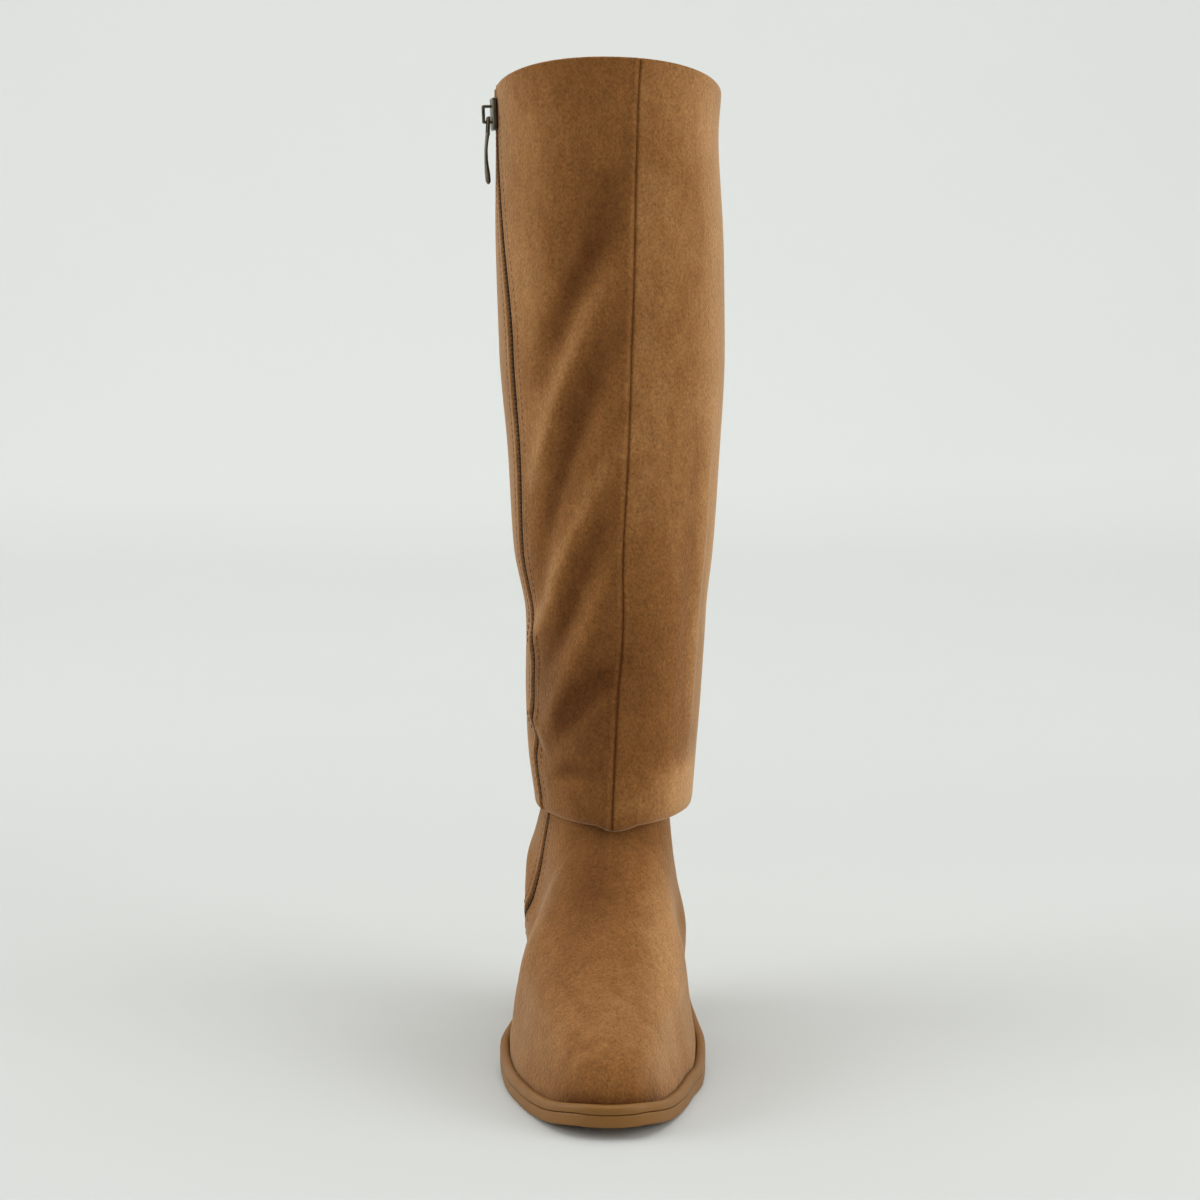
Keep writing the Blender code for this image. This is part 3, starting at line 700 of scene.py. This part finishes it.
def capped_piece(name, grid, material, body="boot"):
    """A grid of rings closed across its first and last ring."""
    rows, count = grid.shape[:2]
    index = np.arange(rows * count).reshape(rows, count)
    after = np.roll(index, -1, axis=1)
    faces = np.stack([index[:-1], index[1:], after[1:], after[:-1]], axis=-1).reshape(-1, 4).tolist()
    points = np.concatenate([grid.reshape(-1, 3), grid[0], grid[-1]])
    faces += cap_faces(grid[0], rows * count)
    faces += [face[::-1] for face in cap_faces(grid[-1], (rows + 1) * count)]
    return piece_of(name, points, faces, material, body=body)


# Shader helpers

class Looks:
    """A node material with short calls to add and join nodes."""

    def __init__(self, name):
        self.material = bpy.data.materials.new(name)
        self.material.use_nodes = True
        self.tree = self.material.node_tree
        self.shader = self.tree.nodes["Principled BSDF"]
        self.place = self.tree.nodes.new("ShaderNodeTexCoord").outputs["Object"]

    def join(self, source, socket):
        self.tree.links.new(source, socket)

    def feed(self, name, source):
        """Joins a node's output to one of the shader's inputs."""
        self.join(source, self.shader.inputs[name])

    def set(self, **values):
        names = {name.lower().replace(" ", "_"): name for name in self.shader.inputs.keys()}
        for name, value in values.items():
            self.shader.inputs[names[name]].default_value = value

    def noise(self, scale, detail=2.0, stretch=(1, 1, 1), distortion=0.0):
        mapping = self.tree.nodes.new("ShaderNodeMapping")
        mapping.inputs["Scale"].default_value = stretch
        self.join(self.place, mapping.inputs["Vector"])
        made = self.tree.nodes.new("ShaderNodeTexNoise")
        made.inputs["Scale"].default_value = scale
        made.inputs["Detail"].default_value = detail
        made.inputs["Distortion"].default_value = distortion
        self.join(mapping.outputs["Vector"], made.inputs["Vector"])
        return made.outputs["Fac"]

    def math(self, operation, a, b):
        made = self.tree.nodes.new("ShaderNodeMath")
        made.operation = operation
        for socket, value in zip(made.inputs, (a, b)):
            if isinstance(value, (int, float)):
                socket.default_value = value
            else:
                self.join(value, socket)
        return made.outputs[0]

    def swing(self, fac, amount):
        """A noise as a swing of this size about 0."""
        return self.math("MULTIPLY", self.math("SUBTRACT", fac, 0.5), amount)

    def between(self, value, start, end, most):
        """0 below the start, rising evenly to the most at the end."""
        made = self.tree.nodes.new("ShaderNodeMapRange")
        made.inputs["From Min"].default_value = start
        made.inputs["From Max"].default_value = end
        made.inputs["To Max"].default_value = most
        self.join(value, made.inputs["Value"])
        return made.outputs["Result"]

    def ramp(self, fac, stops):
        made = self.tree.nodes.new("ShaderNodeValToRGB")
        while len(made.color_ramp.elements) < len(stops):
            made.color_ramp.elements.new(0.5)
        for element, (place, colour) in zip(made.color_ramp.elements, stops):
            element.position = place
            element.color = (*colour, 1)
        self.join(fac, made.inputs["Fac"])
        return made.outputs["Color"]

    def scaled(self, colour, factor):
        made = self.tree.nodes.new("ShaderNodeVectorMath")
        made.operation = "SCALE"
        self.join(colour, made.inputs[0])
        self.join(factor, made.inputs["Scale"])
        return made.outputs["Vector"]

    def bumped(self, height, strength, distance):
        made = self.tree.nodes.new("ShaderNodeBump")
        made.inputs["Strength"].default_value = strength
        made.inputs["Distance"].default_value = distance
        self.join(height, made.inputs["Height"])
        self.join(made.outputs["Normal"], self.shader.inputs["Normal"])


# Colours, as stops from the darkest place to the lightest
SUEDE_STOPS = (
    (0.0, (0.100, 0.034, 0.0070)),
    (0.5, (0.225, 0.092, 0.0250)),
    (1.0, (0.430, 0.219, 0.084)),
)
RUBBER_STOPS = ((0.0, (0.182, 0.074, 0.0095)), (1.0, (0.258, 0.114, 0.018)))
BRONZE_STOPS = ((0.3, (0.050, 0.041, 0.027)), (0.7, (0.150, 0.122, 0.080)))
TAPE_STOPS = ((0.3, (0.034, 0.018, 0.008)), (0.7, (0.080, 0.044, 0.019)))
TOOTH_STOPS = ((0.3, (0.040, 0.021, 0.009)), (0.7, (0.090, 0.049, 0.021)))
THREAD_STOPS = ((0.3, (0.145, 0.064, 0.020)), (0.7, (0.250, 0.118, 0.042)))
LINING_STOPS = ((0.35, (0.300, 0.205, 0.125)), (0.65, (0.450, 0.330, 0.215)))
PAPER_STOPS = ((0.0, (0.590, 0.600, 0.583)), (1.0, (0.605, 0.615, 0.598)))
SHEEN_TINT = (0.90, 0.67, 0.45, 1)
ROOM_COLOUR = (0.97, 1.0, 0.97, 1)


def suede_looks():
    looks = Looks("suede_nap_and_light")
    # The attribute carries brushed nap and the painted light and shade of the patches, creases, seams and
    # fold
    attribute = looks.tree.nodes.new("ShaderNodeAttribute")
    attribute.attribute_name = "nap_and_light"
    clouds = looks.swing(looks.noise(26, 3.0, distortion=0.6), 0.34)
    strokes = looks.swing(looks.noise(170, 3.0, (1, 1, 0.5)), 0.34)
    shade = looks.math("ADD", looks.math("ADD", clouds, strokes), attribute.outputs["Fac"])
    shade = looks.math("ADD", shade, 0.5)
    colour = looks.ramp(shade, SUEDE_STOPS)
    fibre = looks.noise(1150, 2.0, (1, 1, 0.7))
    tufts = looks.noise(520, 2.0)
    speckle = looks.math("ADD", looks.math("ADD", looks.swing(fibre, 1.15), looks.swing(tufts, 0.55)), 1.0)
    looks.feed("Base Color", looks.scaled(colour, speckle))
    looks.set(roughness=0.95, specular_ior_level=0.12)
    looks.set(sheen_weight=0.75, sheen_roughness=0.36, sheen_tint=SHEEN_TINT)
    looks.bumped(looks.math("ADD", fibre, tufts), 0.6, 0.0005)
    return looks.material


def rubber_looks():
    looks = Looks("gum_rubber")
    mottle = looks.math("ADD", looks.swing(looks.noise(60, 3.0), 0.5), 0.5)
    colour = looks.ramp(mottle, RUBBER_STOPS)
    grain = looks.noise(900, 2.0)
    speckle = looks.math("ADD", looks.swing(grain, 0.18), 1.0)
    looks.feed("Base Color", looks.scaled(colour, speckle))
    polish = looks.swing(looks.noise(140, 3.0), 0.2)
    looks.feed("Roughness", looks.math("ADD", polish, 0.5))
    looks.set(specular_ior_level=0.4)
    looks.bumped(grain, 0.12, 0.0003)
    return looks.material


def bronze_looks():
    looks = Looks("dark_bronze")
    wear = looks.noise(260, 4.0)
    looks.feed("Base Color", looks.ramp(wear, BRONZE_STOPS))
    looks.feed("Roughness", looks.math("ADD", looks.swing(wear, 0.25), 0.34))
    looks.set(metallic=1.0)
    looks.bumped(looks.noise(1500, 2.0), 0.08, 0.0002)
    return looks.material


def tape_looks():
    looks = Looks("zip_weave")
    weave = looks.noise(1800, 1.0, (1, 1, 0.5))
    looks.feed("Base Color", looks.ramp(weave, TAPE_STOPS))
    looks.set(roughness=0.85, specular_ior_level=0.1)
    looks.bumped(weave, 0.5, 0.0003)
    return looks.material


def tooth_looks():
    looks = Looks("zip_teeth")
    wear = looks.noise(700, 2.0)
    looks.feed("Base Color", looks.ramp(wear, TOOTH_STOPS))
    looks.set(roughness=0.6, specular_ior_level=0.12)
    looks.bumped(wear, 0.1, 0.0002)
    return looks.material


def thread_looks():
    looks = Looks("thread")
    twist = looks.noise(2200, 1.0)
    looks.feed("Base Color", looks.ramp(twist, THREAD_STOPS))
    looks.set(roughness=0.75, specular_ior_level=0.25)
    looks.bumped(twist, 0.4, 0.0002)
    return looks.material


def lining_looks():
    looks = Looks("lining_weave")
    across = looks.noise(1400, 1.0, (1, 1, 0.25))
    along = looks.noise(1400, 1.0, (0.25, 0.25, 1))
    weave = looks.math("ADD", across, along)
    looks.feed("Base Color", looks.ramp(looks.math("MULTIPLY", weave, 0.5), LINING_STOPS))
    looks.set(roughness=0.9, specular_ior_level=0.2)
    looks.bumped(weave, 0.4, 0.0003)
    return looks.material


# The leg

def leg_levels():
    """Levels of the leg's rows, an even step apart in height."""
    fine = np.linspace(0, LOWEST_LEVEL, LEVEL_SAMPLES)
    heights = LEG["height"](fine)
    count = int((heights[0] - heights[-1]) / ROW_STEP)
    return np.interp(np.linspace(heights[0], heights[-1], count), heights[::-1], fine[::-1])


def collar_rows(outer):
    """Rings that turn the collar's edge over and down inside, from the inside up to the top ring."""
    away = outward(outer[:3])[0]
    rows = [outer[0] - away * row.inside + np.array((0, 0, row.up)) for row in LIP_ROWS]
    return np.stack(rows[::-1])


def fold_rows(outer, inner):
    """Rings that roll under from the leg to the edge turned up inside it."""
    rows = []
    for part in np.linspace(0, 1, FOLD_STEPS + 1)[1:-1]:
        drop = np.array((0, 0, FOLD["drop"](part)))
        rows.append(blend(outer, inner, FOLD["over"](part)) - drop)
    return np.stack(rows)


def return_rows():
    """The leg's lower edge, turned up inside the fold and lapped round the upper."""
    levels = np.array(RETURN_LEVELS).reshape(-1, 1)
    grid = upper_points(column_angles(upper_points, straight_on, upper_zip, levels), levels)
    return grid - outward(grid) * LAP_GAP


def line_lift(line, lift):
    return np.where(COLUMN_LINE == line, lift(COLUMN_ACROSS), 0.0)


def panel_nap(angles, levels):
    """The nap lies lighter on the outer side of the front seam than on its inner side."""
    outer_side, inner_side = PANEL_NAP
    turn = turn_between(angles, leg_seam(levels))
    fade = ease((PANEL_END - np.abs(turn)) / PANEL_FADE)
    return np.where(turn < 0, outer_side, inner_side * bump(turn, PANEL_INNER_REACH)) * fade


def make_shaft(suede):
    levels = leg_levels().reshape(-1, 1)
    angles = column_angles(leg_points, leg_seam, leg_zip, levels)
    plain = leg_points(angles, levels)
    creases = crease_lift(angles - FRONT, plain[..., 2])
    lines = line_lift(FRONT, seam_lift) + line_lift(BACK, seam_lift) + line_lift(ZIP, channel_lift)
    outer = plain + outward(plain) * (creases + lines)[..., None]
    # Painted shade in the seams' grooves and on the creases' lower sides, painted light on their ridges, with
    # the patches
    seam_light = line_lift(FRONT, seam_painted_light) + line_lift(BACK, seam_painted_light)
    slope_shade = SLOPE_SHADE * crease_painted_shade(angles - FRONT, plain[..., 2])
    outer_nap_and_light = patches(outer, LIGHT_AND_NAP_ROWS) + slope_shade + RISE_SHADE * creases + panel_nap(angles, levels) + seam_light
    inner = return_rows()
    fold = fold_rows(outer[-1], inner[0])
    collar = collar_rows(outer)
    grid = np.concatenate([collar, outer, fold, inner])
    nap_and_light = np.concatenate([
        np.zeros(collar.shape[:2]),
        outer_nap_and_light,
        patches(fold, LIGHT_AND_NAP_ROWS) + seam_light + panel_nap(angles[-1:], levels[-1:]),
        np.full(inner.shape[:2], RETURN_SHADE),
    ])
    shaft = piece_from("shaft_suede", grid, suede, nap_and_light)
    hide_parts("shaft")


def make_shaft_lining(lining):
    angles = np.linspace(0, 360, LINING_COLUMNS, endpoint=False)
    levels = np.linspace(*LEG_LINING_ENDS, LEG_LINING_ROWS).reshape(-1, 1)
    grid = leg_points(angles + 0 * levels, levels)
    grid = grid - outward(grid) * (WALL + CHANNEL_DEPTH)
    piece_from("shaft_lining", grid, lining)


# The upper

def make_upper(suede):
    levels = np.linspace(TOP_LEVEL, 0, UPPER_ROWS_FINE).reshape(-1, 1)
    grid = upper_points(column_angles(upper_points, straight_on, upper_zip, levels), levels)
    deep = ease((levels - CHANNEL_FOOT_END) / CHANNEL_END_FADE)
    lift = line_lift(ZIP, channel_lift) * deep + patches(grid, FILL_ROWS)
    grid = grid + outward(grid) * lift[..., None]
    upper = piece_from("upper_suede", grid, suede, patches(grid, LIGHT_AND_NAP_ROWS))
    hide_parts("upper")


def make_upper_lining(lining):
    angles = np.linspace(0, 360, LINING_COLUMNS, endpoint=False)
    levels = np.linspace(TOP_LEVEL, FOOT_LINING_END, FOOT_LINING_ROWS).reshape(-1, 1)
    grid = upper_points(angles + 0 * levels, levels)
    grid = grid - outward(grid) * WALL
    piece_from("upper_lining", grid, lining)


# Sole, welt, insole and heel

FOOT_ANGLES = column_angles(upper_points, straight_on, upper_zip, 0.0)[0]


def edge_ring(out, height):
    """A ring round the foot's plan, moved out from the upper, at a height worked out from its y."""
    step = 0.5
    here = upper_points(FOOT_ANGLES, 0.0)
    ahead = upper_points(FOOT_ANGLES + step, 0.0) - upper_points(FOOT_ANGLES - step, 0.0)
    away = np.stack([-ahead[:, 1], ahead[:, 0]], axis=-1)
    away /= np.linalg.norm(away, axis=-1, keepdims=True)
    x = here[:, 0] + away[:, 0] * out
    y = here[:, 1] + away[:, 1] * out
    return points_from(x, y, height(y))


def make_welt(rubber):
    rings = [edge_ring(corner.out, lambda y, up=corner.up: sole_top(y) + up) for corner in WELT_SECTION]
    rings.append(rings[0])
    welt = piece_from("welt_band", np.stack(rings), rubber)
    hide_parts("welt")


def sole_middle(y):
    return blend(sole_top(y), sole_under(y), 0.5)


# The outsole's rounded edge: out from the upper, and up from one of the sole's own heights
Edge = namedtuple("Edge", "out height up")
OUTSOLE_EDGE = (
    Edge(4.0, sole_top, 0.0),
    Edge(4.28, sole_top, -0.08),
    Edge(4.44, sole_top, -0.28),
    Edge(WELT_WIDTH, sole_top, -0.7),
    Edge(WELT_WIDTH, sole_middle, 0.0),
    Edge(WELT_WIDTH, sole_under, 1.2),
    Edge(4.36, sole_under, 0.6),
    Edge(4.0, sole_under, 0.2),
    Edge(3.4, sole_under, 0.0),
)


def make_outsole(rubber):
    rings = [edge_ring(edge.out, lambda y, edge=edge: edge.height(y) + edge.up) for edge in OUTSOLE_EDGE]
    outsole = capped_piece("outsole_slab", np.stack(rings), rubber)
    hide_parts("outsole")


def make_insole(lining):
    inset = -(WALL + LAP_GAP)
    rings = [
        edge_ring(inset - INSOLE_ROUNDING, lambda y: sole_top(y) + INSOLE_GAP + INSOLE_THICK),
        edge_ring(inset, lambda y: sole_top(y) + INSOLE_GAP + INSOLE_THICK - INSOLE_ROUNDING),
        edge_ring(inset, lambda y: sole_top(y) + INSOLE_GAP),
    ]
    insole = capped_piece("insole_sock", np.stack(rings), lining)
    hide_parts("insole")


def heel_ring(down, height, inset=0.0):
    row = {name: curve(down) for name, curve in HEEL.items()}
    angles = np.linspace(0, 360, HEEL_COLUMNS, endpoint=False)
    back, out = round_ring(angles, HEEL_BREAST_SQUARENESS, HEEL_ROUNDNESS)
    reach = np.where(back > 0, row["back"] - inset - HEEL_WIDEST, HEEL_WIDEST - row["breast"] - inset)
    y = HEEL_WIDEST + back * reach
    return points_from((row["half"] - inset) * out, y, height(y))


def make_heel(rubber):
    floor = HEEL_LIFT_THICK + GAP

    def at(down):
        return lambda y: blend(sole_under(y) - SEAT_GAP, floor, down)

    rings = [heel_ring(0.0, at(0.0), HEEL_EDGE_INSET)]
    rings += [heel_ring(down, at(down)) for down in np.linspace(*HEEL_SIDE, HEEL_SIDE_ROWS)]
    rings.append(heel_ring(1.0, at(1.0), HEEL_EDGE_INSET))
    heel = capped_piece("heel_block", np.stack(rings), rubber)
    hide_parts("heel")


def make_heel_lift(rubber):
    rings = [heel_ring(1.0, lambda y, row=row: row.height + 0 * y, row.inset) for row in LIFT_ROWS]
    lift = capped_piece("heel_top_piece", np.stack(rings), rubber)
    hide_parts("heel_lift")


# Zip

def zip_frames(points, zip_at, levels, across=0.0):
    """Points along a line beside the zip, and the directions down, out and across there."""
    step = 0.02
    turn_step = 0.1
    levels = np.asarray(levels, float)

    def line(level):
        middle = zip_at(level)
        return points(middle + across / speed_round(points, middle, level), level)

    here = line(levels)
    down = line(levels + step) - line(levels - step)
    down /= np.linalg.norm(down, axis=-1, keepdims=True)
    angle = zip_at(levels) + across / speed_round(points, zip_at(levels), levels)
    ahead = points(angle + turn_step, levels) - points(angle - turn_step, levels)
    out = np.cross(down, ahead)
    out /= np.linalg.norm(out, axis=-1, keepdims=True)
    out = np.where(out[:, :1] > 0, -out, out)
    return here, down, out, np.cross(out, down)


def even_levels(points, zip_at, start, end, pitch):
    """Levels that lie an even distance apart along the zip."""
    fine = np.linspace(start, end, ZIP_SAMPLES)
    line = points(zip_at(fine), fine)
    length = np.concatenate([[0], np.cumsum(np.linalg.norm(np.diff(line, axis=0), axis=-1))])
    return np.interp(np.arange(0, length[-1], pitch), length, fine)


def wall_lift(points, here, angle):
    """How far the creases or the fills raise the wall that the zip lies in."""
    if points is leg_points:
        return crease_lift(angle - FRONT, here[:, 2])
    return patches(here, FILL_ROWS)


def joined_blocks(name, frames, block, offset, lift, material):
    """One mesh of many small blocks, each narrower at its top, set along a line."""
    here, down, out, side = frames
    width = block.width / 2
    length = block.length / 2
    height = block.height / 2
    corners = []
    for top in (-1, 1):
        slim = block.taper if top > 0 else 1.0
        for a, b in ((-1, -1), (1, -1), (1, 1), (-1, 1)):
            corner = here + side * (offset + a * width * slim)[:, None] + down * (b * length * slim)
            corners.append(corner + out * (lift + top * height)[:, None])
    points = np.stack(corners, axis=1).reshape(-1, 3)
    sides = ((0, 3, 2, 1), (4, 5, 6, 7), (0, 1, 5, 4), (1, 2, 6, 5), (2, 3, 7, 6), (3, 0, 4, 7))
    faces = [[8 * k + corner for corner in face] for k in range(len(here)) for face in sides]
    made = piece_of(name, points, faces, material)
    made.data.shade_flat()
    return made


def make_tape(name, points, zip_at, ends, tape):
    levels = even_levels(points, zip_at, *ends, TAPE_PITCH)
    rows = []
    for corner in TAPE_SECTION:
        here, _, out, _ = zip_frames(points, zip_at, levels, corner.across)
        lift = CHANNEL_FLOOR + corner.up + wall_lift(points, here, zip_at(levels))
        rows.append(here + out * lift[:, None])
    chain = piece_from(f"{name}_tape", np.stack(rows, axis=1), tape, closed=False)
    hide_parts(name)


def make_teeth(name, points, zip_at, ends, teeth):
    levels = even_levels(points, zip_at, *ends, TOOTH_PITCH)
    frames = zip_frames(points, zip_at, levels)
    sides = np.where(np.arange(len(levels)) % 2 == 0, TOOTH_SIDE, -TOOTH_SIDE)
    lift = CHANNEL_FLOOR + TOOTH_UP + wall_lift(points, frames[0], zip_at(levels))
    made = joined_blocks(f"{name}_teeth", frames, TOOTH, sides, lift, teeth)


def make_stitches(name, points, zip_at, ends, thread):
    levels = even_levels(points, zip_at, *ends, STITCH_PITCH)
    for side_name, across in (("front", -STITCH_SIDE), ("rear", STITCH_SIDE)):
        frames = zip_frames(points, zip_at, levels, across)
        lift = STITCH_UP + wall_lift(points, frames[0], zip_at(levels))
        made = joined_blocks(f"{name}_stitch_{side_name}", frames, STITCH, 0 * levels, lift, thread)


def make_zip(name, points, zip_at, ends, tape, teeth, thread):
    make_tape(name, points, zip_at, ends, tape)
    make_teeth(name, points, zip_at, ends, teeth)
    make_stitches(name, points, zip_at, ends, thread)


# Slider and pull

def swept(profile, centres, half_widths, half_heights, across, out):
    """Rounded sections along a line of centres."""
    rings = []
    for centre, width, height in zip(centres, half_widths, half_heights):
        rings.append(centre + across * (width * profile[:, :1]) + out * (height * profile[:, 1:]))
    return np.stack(rings)


def rounded_profile(count=20, power=3.0):
    turn = np.linspace(0, 2 * math.pi, count, endpoint=False)
    reach = 2 / power
    x = np.copysign(np.abs(np.cos(turn)) ** reach, np.cos(turn))
    y = np.copysign(np.abs(np.sin(turn)) ** reach, np.sin(turn))
    return np.stack([x, y], axis=-1)


def grid_faces(rows, count, first):
    """Quads over rings, and a face across each end."""
    index = first + np.arange(rows * count).reshape(rows, count)
    after = np.roll(index, -1, axis=1)
    faces = np.stack([index[:-1], index[1:], after[1:], after[:-1]], axis=-1).reshape(-1, 4).tolist()
    return faces + [index[0].tolist(), index[-1][::-1].tolist()]


def make_pull(bronze):
    """A slim tab, bowed a little outwards, with an eye round the slider's bridge and a thicker drop."""
    joint = frame["joints"][0]
    hinge = np.array(joint["pos_m"]) / MM
    across = np.array(joint["axis"])
    down = np.array((0.0, 0.0, -1.0))
    out = np.array((-across[1], across[0], 0.0))
    profile = rounded_profile()
    at = np.linspace(PULL_ROWS[0].down, PULL_ROWS[-1].down, PULL_STEPS)
    centres = hinge + down * at[:, None] + out * PULL["bow"](at)[:, None]
    grids = [swept(profile, centres, PULL["half"](at), PULL["thick"](at), across, out)]
    reach = np.linspace(0.0, PULL_EYE_LENGTH + STRAP_LAP, STRAP_STEPS)
    bow = np.interp(reach, (0, PULL_EYE_LENGTH), (0.0, PULL_ROWS[0].bow))
    for side in (-1, 1):
        line = hinge + across * side * STRAP_OUT + down * reach[:, None] + out * bow[:, None]
        grids.append(swept(profile, line, 0 * reach + STRAP_HALF, 0 * reach + STRAP_THICK, across, out))
    bar = hinge + across * (np.array(PULL_BAR_PLACES) * PULL_BAR_HALF)[:, None]
    radii = np.array(PULL_BAR_GIRTHS) * PULL_BAR_RADIUS
    grids.append(swept(rounded_profile(power=2.0), bar, radii, radii, down, out))
    points = np.concatenate([grid.reshape(-1, 3) for grid in grids])
    faces = []
    first = 0
    for grid in grids:
        faces += grid_faces(*grid.shape[:2], first)
        first += grid.shape[0] * grid.shape[1]
    pull = piece_of("pull_tab", points, faces, bronze, body="zip_pull")
    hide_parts("zip_pull")


def dress_slider(bronze):
    slider = frame["nodes"]["zip_slider"]
    slider.data.materials.clear()
    slider.data.materials.append(bronze)
    slider.modifiers.new("joined_corners", "WELD").merge_threshold = SLIDER_WELD * MM
    rounding = slider.modifiers.new("rounding", "BEVEL")
    rounding.width = SLIDER_ROUNDING * MM
    rounding.segments = SLIDER_ROUNDING_STEPS
    rounding.limit_method = "ANGLE"


# Stage, in metres

FLOOR_REACH = 14.0
FLOOR_END = 2.2
WALL_BEND = 1.2
WALL_BEND_STEPS = 24
WALL_HEIGHT = 6.0
WORLD_FRONT = 0.26
WORLD_BACK = 0.56
WALL_GLOW = 0.30
WALL_GLOW_FROM = 0.4
WALL_GLOW_TO = 2.6
SIDE_GLOW = 0.20
SIDE_GLOW_FROM = 1.5
SIDE_GLOW_TO = 5.0

# Soft boxes: where each stands and what it faces, in metres, its width and height, and its watts
SoftBox = namedtuple("SoftBox", "name place target size power")
SOFT_BOXES = (
    SoftBox("left_box", (-2.6, -0.33, 1.2), (0, 0, 0.25), (2.4, 1.9), 42),
    SoftBox("right_box", (2.45, -1.15, 1.2), (0, 0, 0.25), (2.4, 1.9), 48),
    SoftBox("top_box", (0.1, 0.2, 2.3), (0, -0.05, 0.1), (2.4, 2.4), 33),
)


def make_floor():
    """A pale floor that runs up into a wall behind."""
    looks = Looks("pale_paper")
    tone = looks.noise(3, 2.0)
    looks.feed("Base Color", looks.ramp(tone, PAPER_STOPS))
    looks.set(roughness=0.9, specular_ior_level=0.1, emission_color=ROOM_COLOUR)
    axes = looks.tree.nodes.new("ShaderNodeSeparateXYZ")
    looks.join(looks.place, axes.inputs[0])
    wall = looks.between(axes.outputs["Y"], WALL_GLOW_FROM, WALL_GLOW_TO, WALL_GLOW)
    aside = looks.math("ABSOLUTE", axes.outputs["X"], 0.0)
    sides = looks.between(aside, SIDE_GLOW_FROM, SIDE_GLOW_TO, SIDE_GLOW)
    looks.feed("Emission Strength", looks.math("MAXIMUM", wall, sides))
    profile = [(-FLOOR_REACH, 0.0)]
    for turn in np.radians(np.linspace(0, 90, WALL_BEND_STEPS)):
        profile.append((FLOOR_END + WALL_BEND * math.sin(turn), WALL_BEND - WALL_BEND * math.cos(turn)))
    profile.append((FLOOR_END + WALL_BEND, WALL_HEIGHT))
    grid = np.array([[(x, y, z) for x in (-FLOOR_REACH, 0.0, FLOOR_REACH)] for y, z in profile])
    mesh = bpy.data.meshes.new("floor")
    rows, count = grid.shape[:2]
    index = np.arange(rows * count).reshape(rows, count)
    quads = np.stack([index[:-1, :-1], index[:-1, 1:], index[1:, 1:], index[1:, :-1]], axis=-1).reshape(-1, 4)
    mesh.from_pydata(grid.reshape(-1, 3).tolist(), [], quads.tolist())
    mesh.materials.append(looks.material)
    mesh.shade_smooth()
    floor = bpy.data.objects.new("floor", mesh)
    bpy.context.scene.collection.objects.link(floor)


def make_soft_box(box):
    light = bpy.data.lights.new(box.name, "AREA")
    light.shape = "RECTANGLE"
    light.size, light.size_y = box.size
    light.energy = box.power
    made = bpy.data.objects.new(box.name, light)
    made.location = box.place
    made.rotation_euler = (Vector(box.target) - Vector(box.place)).to_track_quat("-Z", "Y").to_euler()
    bpy.context.scene.collection.objects.link(made)


def make_light():
    for box in SOFT_BOXES:
        make_soft_box(box)
    make_world()


def make_world():
    """Soft light from all round, brighter from behind the boot."""
    world = bpy.data.worlds.new("soft_room")
    world.use_nodes = True
    nodes = world.node_tree.nodes
    links = world.node_tree.links
    axes = nodes.new("ShaderNodeSeparateXYZ")
    links.new(nodes.new("ShaderNodeTexCoord").outputs["Generated"], axes.inputs[0])
    level = nodes.new("ShaderNodeMapRange")
    level.inputs["From Min"].default_value = -1.0
    level.inputs["To Min"].default_value = WORLD_FRONT
    level.inputs["To Max"].default_value = WORLD_BACK
    links.new(axes.outputs["Y"], level.inputs["Value"])
    backdrop = nodes["Background"]
    backdrop.inputs["Color"].default_value = ROOM_COLOUR
    links.new(level.outputs["Result"], backdrop.inputs["Strength"])
    bpy.context.scene.world = world
    bpy.context.scene.view_settings.view_transform = "Standard"


CAMERA_PLACE = (-0.0567, -1.2988, 0.36)
CAMERA_DOWN = 6.85
CAMERA_TURN = -2.5
LENS_MM = 81.2
SENSOR_MM = 36.0
SHIFT = -0.0025


def make_camera():
    camera = bpy.data.cameras.new("photo_view")
    camera.lens = LENS_MM
    camera.sensor_width = SENSOR_MM
    camera.shift_x = SHIFT
    made = bpy.data.objects.new("photo_view", camera)
    made.location = CAMERA_PLACE
    made.rotation_euler = (math.radians(90 - CAMERA_DOWN), 0, math.radians(CAMERA_TURN))
    bpy.context.scene.collection.objects.link(made)
    bpy.context.scene.camera = made


def main():
    make_camera()
    make_floor()
    make_light()
    suede = suede_looks()
    rubber = rubber_looks()
    bronze = bronze_looks()
    tape = tape_looks()
    teeth = tooth_looks()
    thread = thread_looks()
    lining = lining_looks()
    make_shaft(suede)
    make_shaft_lining(lining)
    make_upper(suede)
    make_upper_lining(lining)
    make_welt(rubber)
    make_outsole(rubber)
    make_insole(lining)
    make_heel(rubber)
    make_heel_lift(rubber)
    make_zip("zip_chain_leg", leg_points, leg_zip, (CHAIN_TOP_LEVEL, LOWEST_LEVEL), tape, teeth, thread)
    make_zip("zip_chain_foot", upper_points, upper_zip, CHAIN_FOOT_ENDS, tape, teeth, thread)
    make_pull(bronze)
    dress_slider(bronze)


main()
